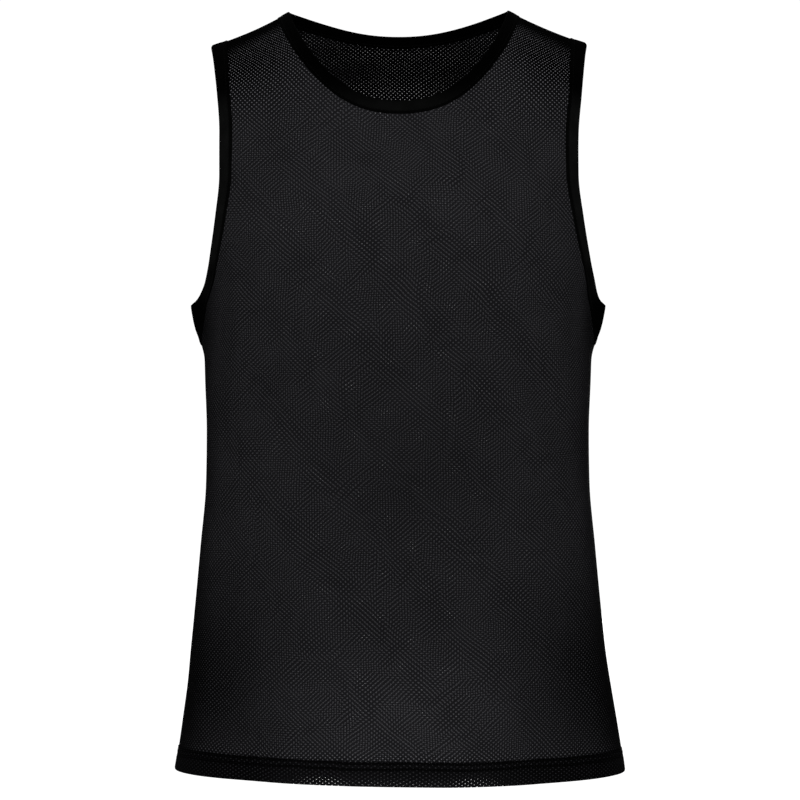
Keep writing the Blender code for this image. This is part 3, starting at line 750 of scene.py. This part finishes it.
ROWS_WANDER = 0.0080
ROWS_DRIFT = 0.0200
HOLES_STRAY = 0.0007
WALES_APART = 0.00078
COURSES_APART = 0.00056
KNIT_RELIEF = 0.00022

# Spots of painted light, standing for light through the holes of the layer behind, lie on rows of
# their own, a little further apart and pulled askew.
LIGHT_SPOT_CELLS_WIDER = 1.07
LIGHT_SPOT_CELLS_HIGHER = 1.05
LIGHT_SPOT = {"hole_wide": 0.0013, "hole_high": 0.0012, "start_across": 0.001, "start_up": 0.001}
LIGHT_SPOTS_PULLED_UP = -0.020
LIGHT_SPOTS_PULLED_ACROSS = 0.024


def from_hole(finish, across, up, knit):
    """Distance from the nearest hole's middle, as a share of the hole's half size."""
    nearest = None
    for half_cell in (0.0, 0.5):
        sides = []
        for value, cell, start, hole in (
            (across, knit.cell_across, knit.start_across, knit.hole_wide),
            (up, knit.cell_up, knit.start_up, knit.hole_high),
        ):
            share = finish.shifted(value, 1 / cell, start / cell + half_cell)
            share = finish.sum("SUBTRACT", finish.sum("FRACT", share), 0.5)
            share = finish.times(share, cell / (hole / 2))
            sides.append(finish.times(share, share))
        away = finish.sum("SQRT", finish.sum("ADD", *sides))
        nearest = away if nearest is None else finish.sum("MINIMUM", nearest, away)
    return nearest


def hole_knit(name, knit, yarn, lit_yarn, filament):
    """Black knit with rows of small holes, each row half a cell over from the one below it."""
    finish = Finish(name, yarn, 0.72)
    across, up = finish.mark("across"), finish.mark("up")
    spot, turned_spot = finish.place(across, up), finish.place(up, across, 3.0)
    # The rows wander a little, as they do in cloth that has been cut, sewn and pulled on.
    across = finish.shifted(finish.drifting(spot, 14.0), ROWS_WANDER, across)
    across = finish.shifted(finish.drifting(spot, 160.0, 1.0), HOLES_STRAY, across)
    up = finish.shifted(finish.drifting(turned_spot, 7.0), ROWS_DRIFT, up)
    # 1 at the rim of a hole of the usual size.
    nearest = finish.sum("DIVIDE", from_hole(finish, across, up, knit), finish.mark("holes"))
    # Seam allowances lie double behind the cloth, and close it.
    single = finish.ramp(finish.mark("from_seam"), 0.0045, 0.0060)
    # Each hole is painted pale, a painted light that stands for the light seen through it; its
    # middle is open.
    inside = finish.times(finish.ramp(nearest, 0.80, 1.15, 1.0, 0.0), single)
    middle = finish.times(finish.ramp(nearest, 0.5 * knit.open, knit.open, knit.clear, 0.0), single)
    middle = finish.times(middle, finish.mark("clear"))
    finish.set(finish.sum("MAXIMUM", finish.sum("SUBTRACT", 1.0, middle), 0.0), "Alpha")
    # Loops of yarn, and a raised bead round each hole.
    loops = finish.times(finish.waves(across, WALES_APART), finish.waves(up, COURSES_APART))
    bead = finish.ramp(nearest, 1.0, 1.9)
    fall = finish.ramp(nearest, 1.9, 3.2, 0.0, 0.35)
    height = finish.sum("ADD", finish.shifted(loops, 0.22, 0.5), finish.sum("SUBTRACT", bead, fall))
    finish.raised(height, KNIT_RELIEF)
    # The yarn is paler here and there, and deeper along the seams; its mark adds painted light and
    # painted shade, patch by patch.
    fibre = finish.clouds(spot, 2600.0, 1.0)
    light = finish.shifted(finish.ramp(finish.clouds(spot, 22.0, 3.0), 0.35, 0.7), 0.5, 0.1)
    light = finish.shifted(finish.ramp(fibre, 0.3, 0.8), 0.4, light)
    seam_and_painted_shade = finish.ramp(finish.mark("from_seam"), 0.0030, 0.0075, 0.25, 1.0)
    seam_and_painted_shade = finish.times(finish.mark("yarn"), seam_and_painted_shade)
    shade = finish.scaled(finish.mixed(light, yarn, lit_yarn), seam_and_painted_shade)
    # Spots of painted light on that second lattice make the yarn between the holes paler too.
    wider, higher = knit.cell_across * LIGHT_SPOT_CELLS_WIDER, knit.cell_up * LIGHT_SPOT_CELLS_HIGHER
    light_spot_knit = knit._replace(cell_across=wider, cell_up=higher, **LIGHT_SPOT)
    pulled = finish.drifting(finish.place(up, across, 7.0), 11.0)
    light_spots_up = finish.shifted(pulled, LIGHT_SPOTS_PULLED_UP, up)
    light_spots_across = finish.shifted(pulled, LIGHT_SPOTS_PULLED_ACROSS, across)
    painted_light_spots = finish.ramp(from_hole(finish, light_spots_across, light_spots_up, light_spot_knit), 0.6, 1.4, 0.34, 0.0)
    painted_light_spot_share = finish.times(finish.times(painted_light_spots, single), seam_and_painted_shade)
    bare = finish.mixed(0.0, filament, filament)
    shade = finish.mixed(painted_light_spot_share, shade, finish.scaled(bare, seam_and_painted_shade))
    # The holes take their painted light, scaled patch by patch by more painted light and painted
    # shade.
    pale = finish.scaled(bare, finish.mark("filament"))
    finish.set(finish.mixed(inside, shade, pale), "Base Color")
    finish.set(finish.ramp(fibre, 0.2, 0.8, 0.62, 0.80), "Roughness")
    finish.set(0.02, "Specular IOR Level")
    return finish.material


# Painted shade towards the side seams and over the shoulders, where the form turns from the light:
# how deep, and over what distance that fades.
EDGE_PAINTED_SHADE = table(
    "shade start reach",
    (0.32, 0.010, 0.055),
    (0.03, 0.022, 0.026),
)
LEAST_YARN = 0.05


def panel_cloth(half, finish):
    """The half's cloth on a grid between hem, side seams, armholes, shoulder seams and neck."""
    form = half.form
    neck_line = moved_in(form, half.neck_sewn, -TUCKED_IN, False)
    armhole_line = moved_in(form, half.armhole_sewn, TUCKED_IN, True)
    shares = np.linspace(0.0, 1.0, NECK_STEPS + 1)
    top_neck = at_shares(neck_line, path_lengths(neck_line), shares)
    shares = np.linspace(0.0, 1.0, ARMHOLE_STEPS + 1)
    side_top = at_shares(armhole_line, path_lengths(armhole_line), shares)
    seam_across = np.linspace(top_neck[-1, 0], side_top[-1, 0], SHOULDER_STEPS + 1)
    seam = np.stack([seam_across, form.shoulder_up(seam_across)], axis=1)
    top = np.concatenate([top_neck[:-1], seam])
    side_up = np.linspace(HEM_DEPTH, side_top[0, 1], SIDE_STEPS + 1)
    side = np.stack([form.side_reach(side_up), side_up], axis=1)
    edge = np.concatenate([side[:-1], side_top])
    edge[-1] = top[-1]

    # The grid's columns are evenly spaced low down, and rise to meet the neck and the shoulder.
    share = top[:, 0] / top[-1, 0]
    even = np.linspace(0.0, 1.0, len(share))
    lift = np.clip((edge[:, 1] - HEM_DEPTH) / (edge[-1, 1] - HEM_DEPTH), 0, 1)[:, None] ** 3
    across = edge[:, :1] * (even * (1 - lift) + share * lift)
    up = edge[:, 1:] + (top[:, 1] - top[-1, 1]) * lift
    across = np.concatenate([-across[:, :0:-1], across], axis=1)
    up = np.concatenate([up[:, :0:-1], up], axis=1)

    from_side = form.side_reach(up) - np.abs(across)
    from_shoulder = form.shoulder_up(across) - up
    from_seam = np.minimum(from_side, from_shoulder * SHOULDER_SEAM_SHARE)
    marks = {"across": across, "up": up, "from_seam": from_seam, **half.patched(across, up)}
    marks["yarn"] = np.maximum(marks["yarn"], LEAST_YARN)
    # Painted shade deepens the yarn and the painted light in the holes towards the side seams and
    # over the shoulders.
    for row, distance in zip(EDGE_PAINTED_SHADE, (from_side, from_shoulder)):
        painted_edge_shade = row.shade + (1 - row.shade) * eased((distance - row.start) / row.reach)
        marks["yarn"] = marks["yarn"] * painted_edge_shade
        marks["filament"] = marks["filament"] * painted_edge_shade
    piece = grid_mesh(half.side + "_cloth", half.laid(across, up), finish, marks)
    thickened(piece, CLOTH_THICK)
    return piece


def flat_size(half):
    """Width, length and area of the half's cut, with its hem and without seam allowances."""
    form = half.form
    up = np.linspace(0.0, form.column_top.max(), 1200)
    reach = np.where(up < half.armhole[0, 1], form.side_reach(up), 0.0)
    above = np.interp(up, half.armhole[:, 1], half.armhole[:, 0])
    reach = np.where(up < half.armhole[0, 1], reach, above)
    across = np.linspace(0.0, form.side_reach(0.0), 700)
    neck_low = np.interp(across, half.neck[:, 0], half.neck[:, 1], right=9.0)
    top = np.minimum(form.shoulder_up(across), neck_low)
    inside = (across[:, None] <= reach[None, :]) & (up[None, :] <= top[:, None])
    area = 2 * inside.sum() * (across[1] - across[0]) * (up[1] - up[0])
    return 2 * form.side_reach(0.0), float(form.shoulder_up(half.neck[-1, 0])), float(area)


YARN_BLACK = (0.0222, 0.0218, 0.0244)
YARN_LIT = (0.0352, 0.0346, 0.0388)
# The pale of the holes is painted light, standing for the light seen through them.
PAINTED_HOLE_LIGHT = (0.2120, 0.2100, 0.2270)

front = Half("front")
front_knit = Knit(0.0047, 0.0040, 0.00125, 0.00115, 0.0, 0.0, 0.75, 0.6)
front_finish = hole_knit("front_hole_knit", front_knit, YARN_BLACK, YARN_LIT, PAINTED_HOLE_LIGHT)
front_cloth = panel_cloth(front, front_finish)
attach(front_cloth, "root")
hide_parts("front_panel")


# The back. One cut of the same mesh with a shallow neck. It lies closer to straight than the
# front, dips along its middle, and shows its inner face through the neck.

back = Half("back")
back_knit = Knit(0.0047, 0.0040, 0.00125, 0.00115, 0.0011, 0.0007, 0.75, 0.6)
back_finish = hole_knit("back_hole_knit", back_knit, YARN_BLACK, YARN_LIT, PAINTED_HOLE_LIGHT)
back_cloth = panel_cloth(back, back_finish)
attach(back_cloth, "root")
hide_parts("back_panel")


# The neck binding. A closed ring of smooth black knit tape folded over the neck edge, with one
# row of stitching near its sewn edge.

TAPE_BLACK = (0.0052, 0.0054, 0.0053)
TAPE_LIT = (0.0110, 0.0113, 0.0110)
TAPE_RIBS_APART = 0.00085
TAPE_LOOPS_APART = 0.00060
TAPE_RELIEF = 0.00012

# The tape's cross-section: where each point lies from the opening edge to the sewn edge, as a
# share of the width, and how full the tape is there. Near the end it dips where it is stitched.
TAPE_PROFILE = table(
    "share full",
    (0.000, 0.00),
    (0.012, 0.42),
    (0.045, 0.72),
    (0.100, 0.92),
    (0.200, 1.00),
    (0.400, 1.02),
    (0.580, 0.98),
    (0.700, 0.88),
    (0.765, 0.72),
    (0.830, 0.88),
    (0.900, 0.94),
    (0.955, 0.84),
    (0.988, 0.56),
    (1.000, 0.34),
)


def smooth_tape(name, plain, lit):
    """Fine black knit tape: ribs along it, a soft sheen and slight unevenness."""
    finish = Finish(name, plain, 0.6)
    along, across = finish.mark("along"), finish.mark("over")
    spot = finish.place(along, across)
    place = finish.shifted(finish.drifting(spot, 240.0, 1.0), 0.0002, across)
    ribs = finish.waves(place, TAPE_RIBS_APART)
    loops = finish.times(ribs, finish.waves(along, TAPE_LOOPS_APART))
    height = finish.shifted(ribs, 0.25, finish.shifted(loops, 0.25, 0.5))
    finish.raised(height, TAPE_RELIEF)
    fibre = finish.clouds(spot, 1900.0, 1.0)
    light = finish.times(finish.ramp(finish.clouds(spot, 60.0, 3.0), 0.3, 0.7), 0.5)
    light = finish.shifted(finish.ramp(fibre, 0.3, 0.8), 0.5, light)
    # The tape's colour is scaled by its painted light and painted shade.
    finish.set(finish.scaled(finish.mixed(light, plain, lit), finish.mark("tape_painted_light")), "Base Color")
    finish.set(finish.ramp(fibre, 0.2, 0.8, 0.50, 0.66), "Roughness")
    finish.set(0.02, "Specular IOR Level")
    return finish.material


def tape_loops(half, opening, sewn_edge, flip):
    """The tape's cross-sections along one half of an opening, each a closed loop of points."""
    share = np.array(column(TAPE_PROFILE, "share"))
    full = np.array(column(TAPE_PROFILE, "full")) * TAPE_WALL / 2
    share = np.concatenate([share, share[-2:0:-1]])
    out = np.concatenate([full, -full[-2:0:-1]])
    out[len(TAPE_PROFILE) - 1] = 0.0
    flat = opening[:, None] + (sewn_edge - opening)[:, None] * share[:, None]
    points = half.laid(flat[..., 0] * flip, flat[..., 1], out)
    # Front and back tape are kept apart where the side seam pinches them together.
    facing = half.form.facing
    points[..., 1] = facing * np.maximum(facing * points[..., 1], 0.0)
    return points


def paired(first, second, steps, spread=0.0):
    """Two outlines cut at the same shares of the first one's length."""
    t = np.linspace(0.0, 1.0, steps + 1)
    lengths = path_lengths(first)
    shares = t + spread * t * (1 - t)
    return at_shares(first, lengths, shares), at_shares(second, lengths, shares)


# Painted light makes the tapes paler over the chest, and painted shade leaves them deepest on the
# shoulders and under the arms.
TAPE_SHADED_ABOVE = -0.060
TAPE_SHADED_BELOW = -0.235
LEAST_TAPE_LIGHT = 0.05


def along_and_over(loops, width, tape_light_share):
    """How far along the tape each point is, how far over its edge, and the painted light and shade
    it carries there.
    """
    share = np.array(column(TAPE_PROFILE, "share"))
    round_tape = np.concatenate([share, -share[-2:0:-1]])
    z = loops[..., 2]
    pale = tape_light_share * eased((TAPE_SHADED_ABOVE - z) / 0.025) * eased((z - TAPE_SHADED_BELOW) / 0.020)
    # The stitched groove and the sewn edge lie in their own shadow.
    pale *= 1 - 0.75 * eased((np.abs(round_tape) - 0.70) / 0.12)
    return {
        "along": path_lengths(loops.mean(axis=1))[:, None] + 0 * z,
        "over": round_tape * width + 0 * z,
        "tape_painted_light": LEAST_TAPE_LIGHT + pale,
    }


NECK_TAPE_STEPS = 110

tape_finish = smooth_tape("neck_tape", TAPE_BLACK, TAPE_LIT)
rows = []
for half, order in ((front, 1), (back, -1)):
    edges = paired(half.neck, half.neck_sewn, NECK_TAPE_STEPS)
    both = np.concatenate([tape_loops(half, *edges, -1)[:0:-1], tape_loops(half, *edges, 1)])
    rows.append(both[::order])
right_end = (rows[0][-1] + rows[1][0]) / 2
left_end = (rows[0][0] + rows[1][-1]) / 2
loops = np.concatenate([left_end[None], rows[0][1:-1], right_end[None], rows[1][1:-1]])
marks = along_and_over(loops, NECK_TAPE, 1.00)
neck_tape = grid_mesh("neck_tape", loops, tape_finish, marks, round_rows=True, round_columns=True)
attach(neck_tape, "root")
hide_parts("neck_binding")


# The armhole bindings. The same tape, folded over each armhole edge before the side seam is
# closed, so that its two ends are caught in the side seam and stand out a little there.

ARMHOLE_TAPE_STEPS = 130
CLOSER_AT_UNDERARM = 0.22

armhole_tapes = []
for name, flip in (("left", 1), ("right", -1)):
    tape_finish = smooth_tape("armhole_tape_" + name, TAPE_BLACK, TAPE_LIT)
    rows = []
    for half in (front, back):
        edges = paired(half.armhole, half.armhole_sewn, ARMHOLE_TAPE_STEPS, CLOSER_AT_UNDERARM)
        rows.append(tape_loops(half, *edges, flip))
    seam_end = (rows[0][-1] + rows[1][-1]) / 2
    loops = np.concatenate([rows[0][:-1], seam_end[None], rows[1][-2::-1]])
    marks = along_and_over(loops, ARMHOLE_TAPE, 1.60)
    tape = grid_mesh("armhole_tape_" + name, loops, tape_finish, marks, round_columns=True)
    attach(tape, "root")
    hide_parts("armhole_binding_" + name)
    armhole_tapes.append(tape)


# The hems. The lower edge of the front and of the back, turned up double, so that two layers of
# mesh lie over each other below a fold.

HEM_APART = 0.0008
HEM_ACROSS_STEPS = 280
HEM_ROUND = 0.0018
HEM_UP = [0.0223, 0.0213, 0.0202, 0.0190, 0.0178, 0.0168, 0.0158, 0.0148, 0.0134, 0.0120, 0.0104]
HEM_UP += [0.0086, 0.0068, 0.0050, 0.0032, 0.0018, 0.0008, 0.0002]
NEEDLE_ROWS = (0.0210, 0.0156)
NEEDLE_ROW_WIDE = 0.0011
PRESSED_FLAT = 0.55

# Doubled cloth reads deeper, most of all along the needle rows. Painted light makes it paler in the
# middle and paler still near the fold, and painted shade deeper at the sides: shares at the sides,
# added in the middle, added there near the fold, and taken by the needle rows.
HEM_SHADES = table(
    "mark sides middle fold pressed",
    ("yarn", 0.15, 0.21, 0.30, 0.92),
    ("filament", 0.34, 0.08, 0.36, 0.90),
)
HEM_MIDDLE_REACH = 0.120
FOLD_GLOW_REACH = 0.0065

# Where the holes of both layers lie over each other, and light comes through.
OPEN_SPOTS = (-0.081, 0.077)
OPEN_SPOT_REACH = 0.026


def needle_row(row, across):
    """Height of a needle row along the hem: it wanders a little, as the edge was fed by hand."""
    return row + 0.00045 * np.sin(58.0 * across + 0.8) + 0.00025 * np.sin(171.0 * across)


def flat_topped(distance, reach):
    return np.exp(-((distance / reach) ** 4))


hem_knit = Knit(0.0057, 0.0036, 0.00135, 0.00105, 0.0, 0.0, 1.1, 0.25)
hems = []
for half in (front, back):
    finish = hole_knit(half.side + "_hem_knit", hem_knit, YARN_BLACK, YARN_LIT, PAINTED_HOLE_LIGHT)
    turned_up = np.array(HEM_UP)
    round_fold = np.sqrt(np.clip(turned_up / HEM_ROUND, 0, 1))
    out = np.concatenate([-round_fold, [0.0], round_fold[::-1]]) * HEM_APART
    up = np.concatenate([turned_up, [0.0], turned_up[::-1]])[:, None]
    across = half.form.side_reach(up) * np.linspace(-1.0, 1.0, HEM_ACROSS_STEPS + 1)
    up = np.broadcast_to(up, across.shape)
    # The needle rows press the two layers together, and the cloth between them stands up.
    sewn_at = [needle_row(row, across) for row in NEEDLE_ROWS]
    pressed = sum(np.exp(-(((up - row) / NEEDLE_ROW_WIDE) ** 2)) for row in sewn_at)
    points = half.laid(across, up, out[:, None] * (1 - PRESSED_FLAT * pressed))
    from_seam = half.form.side_reach(up) - np.abs(across)
    marks = {"across": across, "up": up, "from_seam": from_seam, **half.patched(across, up)}
    # Painted light near the fold and across the middle of the hem; its sides keep painted shade.
    painted_fold_glow = np.exp(-((up / FOLD_GLOW_REACH) ** 2))
    middle = flat_topped(across, HEM_MIDDLE_REACH)
    for row in HEM_SHADES:
        shade = row.sides + (row.middle + row.fold * painted_fold_glow) * middle
        marks[row.mark] = shade * (1 - row.pressed * pressed)
    marks["holes"] *= 1 - 0.45 * pressed
    open_spots = sum(flat_topped(across - x, OPEN_SPOT_REACH) for x in OPEN_SPOTS)
    marks["clear"] += 4.5 * open_spots * flat_topped(up - 0.0040, 0.0042)
    marks["clear"] += 1.7 * middle * flat_topped(up - 0.0025, 0.0030)
    hem = grid_mesh(half.side + "_turned_hem", points, finish, marks)
    thickened(hem, CLOTH_THICK)
    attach(hem, "root")
    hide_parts(half.side + "_hem")
    hems.append(hem)


# The hem stitching. Two rows of black twin-needle stitches round the hem, and the thread that
# links them to and fro on the inside.

THREAD_BLACK = (0.0016, 0.0016, 0.0018)
THREAD_LIT = (0.0060, 0.0060, 0.0065)
STITCH_LONG = 0.0031
STITCH_GAP = 0.0005
THREAD_THICK = 0.00042
THREAD_TWIST = 0.0007
THREAD_RELIEF = 0.00008
THREAD_SIDES = 6
THREAD_RINGS = 5
LINK_APART = 0.0018
HEM_STITCH_OUT = 0.00105
LINK_OUT = -0.00115
ALMOST_ROUND = 0.995


def sewing_thread(name):
    """Twisted black polyester thread."""
    finish = Finish(name, THREAD_BLACK, 0.5)
    along, round_it = finish.mark("along"), finish.mark("over")
    twist = finish.shifted(along, 2 * np.pi / THREAD_TWIST, round_it)
    strands = finish.shifted(finish.sum("SINE", twist), 0.5, 0.5)
    finish.raised(strands, THREAD_RELIEF)
    # The raised crown of each strand is painted paler: a painted highlight.
    finish.set(finish.mixed(strands, THREAD_BLACK, THREAD_LIT), "Base Color")
    finish.set(finish.ramp(strands, 0.0, 1.0, 0.45, 0.60), "Roughness")
    finish.set(0.20, "Specular IOR Level")
    return finish.material


def sewn(name, middles, outwards):
    """Threads as one joined mesh: each a closed tube along its own row of middle points."""
    middles, outwards = np.concatenate(middles), np.concatenate(outwards)
    ahead = np.gradient(middles, axis=1)
    ahead /= np.linalg.norm(ahead, axis=-1, keepdims=True)
    beside = np.cross(ahead, outwards)
    beside /= np.linalg.norm(beside, axis=-1, keepdims=True)
    upright = np.cross(beside, ahead)
    full = np.sin(np.linspace(0.12, np.pi - 0.12, THREAD_RINGS)) ** 0.5
    turn = np.linspace(0.0, 2 * np.pi, THREAD_SIDES + 1)[:-1, None]
    round_it = beside[:, :, None] * np.cos(turn) + upright[:, :, None] * np.sin(turn)
    points = middles[:, :, None] + round_it * (THREAD_THICK / 2 * full)[:, None, None]
    faces = []
    for low in range(0, (THREAD_RINGS - 1) * THREAD_SIDES, THREAD_SIDES):
        for k in range(THREAD_SIDES):
            n = (k + 1) % THREAD_SIDES
            faces.append((low + k, low + n, low + n + THREAD_SIDES, low + k + THREAD_SIDES))
    starts = THREAD_RINGS * THREAD_SIDES * np.arange(len(middles))
    sides = (np.array(faces) + starts[:, None, None]).reshape(-1, 4)
    along = path_lengths(middles)[:, :, None] + np.zeros(THREAD_SIDES)
    marks = {"along": along, "over": turn[:, 0] + np.zeros(along.shape)}
    piece = mesh_of(name, points.reshape(-1, 3), sides, black_thread, marks)
    # The two small ends of each tube are closed.
    ends = bmesh.new()
    ends.from_mesh(piece.data)
    bmesh.ops.holes_fill(ends, edges=[e for e in ends.edges if e.is_boundary], sides=THREAD_SIDES)
    for face in ends.faces:
        face.smooth = True
    ends.to_mesh(piece.data)
    ends.free()
    return piece


def stitch_row(half, line, out):
    """Middles and outward directions of stitches that follow a flat line on the cloth."""
    lengths = path_lengths(half.laid(*line.T))
    count = int(lengths[-1] / (STITCH_LONG + STITCH_GAP))
    starts = (np.arange(count) + 0.5) / count * lengths[-1] - STITCH_LONG / 2
    places = starts[:, None] + np.linspace(0.0, STITCH_LONG, THREAD_RINGS)
    across, up = (np.interp(places, lengths, values) for values in line.T)
    rise = np.sin(np.linspace(0.0, np.pi, THREAD_RINGS)) ** 0.6
    height = out - THREAD_THICK * 0.7 * (1 - rise)
    return half.laid(across, up, height), half.form.outwards(across, up)


black_thread = sewing_thread("hem_thread")
hem_stitches = []
for half in (front, back):
    middles, outwards = [], []
    for row in NEEDLE_ROWS:
        across = np.linspace(-ALMOST_ROUND, ALMOST_ROUND, 600) * half.form.side_reach(row)
        line = np.stack([across, needle_row(row, across)], axis=1)
        row_middles, row_outwards = stitch_row(half, line, HEM_STITCH_OUT)
        middles.append(row_middles)
        outwards.append(row_outwards)
    # Inside, one thread runs to and fro between the two rows.
    top_row, low_row = NEEDLE_ROWS
    count = int(2 * half.form.side_reach(top_row) / LINK_APART)
    places = np.linspace(-ALMOST_ROUND, ALMOST_ROUND, count + 1)[:, None]
    t = np.linspace(0.0, 1.0, THREAD_RINGS)
    across = (places[:-1] + np.diff(places, axis=0) * t) * half.form.side_reach(low_row)
    way = (np.arange(count) % 2)[:, None]
    up = needle_row(low_row, across) + (top_row - low_row) * (way + (1 - 2 * way) * t)
    middles.append(half.laid(across, up, LINK_OUT))
    outwards.append(-half.form.outwards(across, up))
    stitches = sewn(half.side + "_hem_stitches", middles, outwards)
    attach(stitches, "root")
    hem_stitches.append(stitches)


# The stitching on the bindings. One row of the same thread runs through each binding near its
# sewn edge, and shows outside and inside.

STITCHED_AT = 0.765
STITCHED_OUT = 0.00096
CLEAR_OF_SIDE_SEAM = 0.0140


def binding_stitches(name, lines):
    """Joined stitches along bindings, for rows of a half, an opening, a sewn edge and a side."""
    middles, outwards = [], []
    for half, opening, sewn_edge, flip, start in lines:
        line = opening + (sewn_edge - opening) * STITCHED_AT
        line = line[path_lengths(opening) >= start] * np.array([flip, 1.0])
        for way in (1.0, -1.0):
            row_middles, row_outwards = stitch_row(half, line, STITCHED_OUT * way)
            middles.append(row_middles)
            outwards.append(row_outwards * way)
    stitches = sewn(name, middles, outwards)
    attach(stitches, "root")
    return stitches


neck_lines = []
for half in (front, back):
    edges = paired(half.neck, half.neck_sewn, 3 * NECK_TAPE_STEPS)
    neck_lines += [(half, *edges, flip, 0.0) for flip in (1, -1)]
tape_stitches = [binding_stitches("neck_tape_stitches", neck_lines)]
for name, flip in (("left", 1), ("right", -1)):
    armhole_lines = []
    for half in (front, back):
        edges = paired(half.armhole, half.armhole_sewn, 3 * ARMHOLE_TAPE_STEPS)
        armhole_lines.append((half, *edges, flip, CLEAR_OF_SIDE_SEAM))
    tape_stitches.append(binding_stitches("armhole_tape_stitches_" + name, armhole_lines))


# What the cut measures. Front and back are each one sheet, laid out flat before sewing, with
# the turned-up part of the hem and the bindings going with them.

for half, cloth, with_pieces in (
    (front, front_cloth, [hems[0], hem_stitches[0], neck_tape, *armhole_tapes, *tape_stitches]),
    (back, back_cloth, [hems[1], hem_stitches[1]]),
):
    width, length, area = flat_size(half)


# The studio. A pale floor a little under the hem, a white surround, two large soft lamps in front
# of the bib, and a camera level with its middle.

FLOOR_HEIGHT = -0.745
FLOOR_RADIUS = 7.0

floor_mesh = bpy.data.meshes.new("floor")
turn = np.linspace(0.0, 2 * np.pi, 97)[:-1]
ring = np.stack(
    [FLOOR_RADIUS * np.cos(turn), FLOOR_RADIUS * np.sin(turn), np.full(96, FLOOR_HEIGHT)], axis=1
)
floor_mesh.from_pydata(ring.tolist(), [], [list(range(96))])
floor_finish = Finish("pale_floor", (0.82, 0.82, 0.82), 0.7)
floor_finish.set((1.0, 1.0, 1.0), "Emission Color")
floor_finish.set(1.0, "Emission Strength")
floor_mesh.materials.append(floor_finish.material)
floor = bpy.data.objects.new("floor", floor_mesh)
floor.visible_diffuse = False
floor.visible_glossy = False
bpy.context.scene.collection.objects.link(floor)

world = bpy.data.worlds.new("white_surround")
world.use_nodes = True
nodes, links = world.node_tree.nodes, world.node_tree.links
seen = nodes["Background"]
seen.inputs["Color"].default_value = (1.0, 1.0, 1.0, 1.0)
seen.inputs["Strength"].default_value = 1.05
lighting = nodes.new("ShaderNodeBackground")
lighting.inputs["Color"].default_value = (1.0, 1.0, 1.0, 1.0)
lighting.inputs["Strength"].default_value = 0.10
chosen = nodes.new("ShaderNodeMixShader")
links.new(nodes.new("ShaderNodeLightPath").outputs["Is Camera Ray"], chosen.inputs["Fac"])
links.new(lighting.outputs[0], chosen.inputs[1])
links.new(seen.outputs[0], chosen.inputs[2])
links.new(chosen.outputs[0], nodes["World Output"].inputs["Surface"])
bpy.context.scene.world = world

MIDDLE = Vector((0.0, 0.0, -0.352))
for name, place, size, power in (
    ("lamp_left", (-1.2, -2.5, 0.20), 1.4, 9.0),
    ("lamp_right", (1.2, -2.5, 0.20), 1.4, 9.0),
    ("lamp_behind", (0.5, 2.6, -0.20), 1.0, 6.0),
):
    light = bpy.data.lights.new(name, "AREA")
    light.shape = "SQUARE"
    light.size = size
    light.energy = power
    lamp = bpy.data.objects.new(name, light)
    lamp.location = place
    lamp.rotation_euler = (MIDDLE - Vector(place)).to_track_quat("-Z", "Y").to_euler()
    bpy.context.scene.collection.objects.link(lamp)

view = bpy.data.cameras.new("camera")
view.sensor_width = 36.0
view.lens = 132.6
view.clip_end = 60.0
camera = bpy.data.objects.new("camera", view)
camera.location = (0.0015, -2.8, -0.352)
camera.rotation_euler = (np.pi / 2, 0.0, 0.0)
bpy.context.scene.collection.objects.link(camera)
bpy.context.scene.camera = camera
bpy.context.scene.view_settings.view_transform = "Standard"
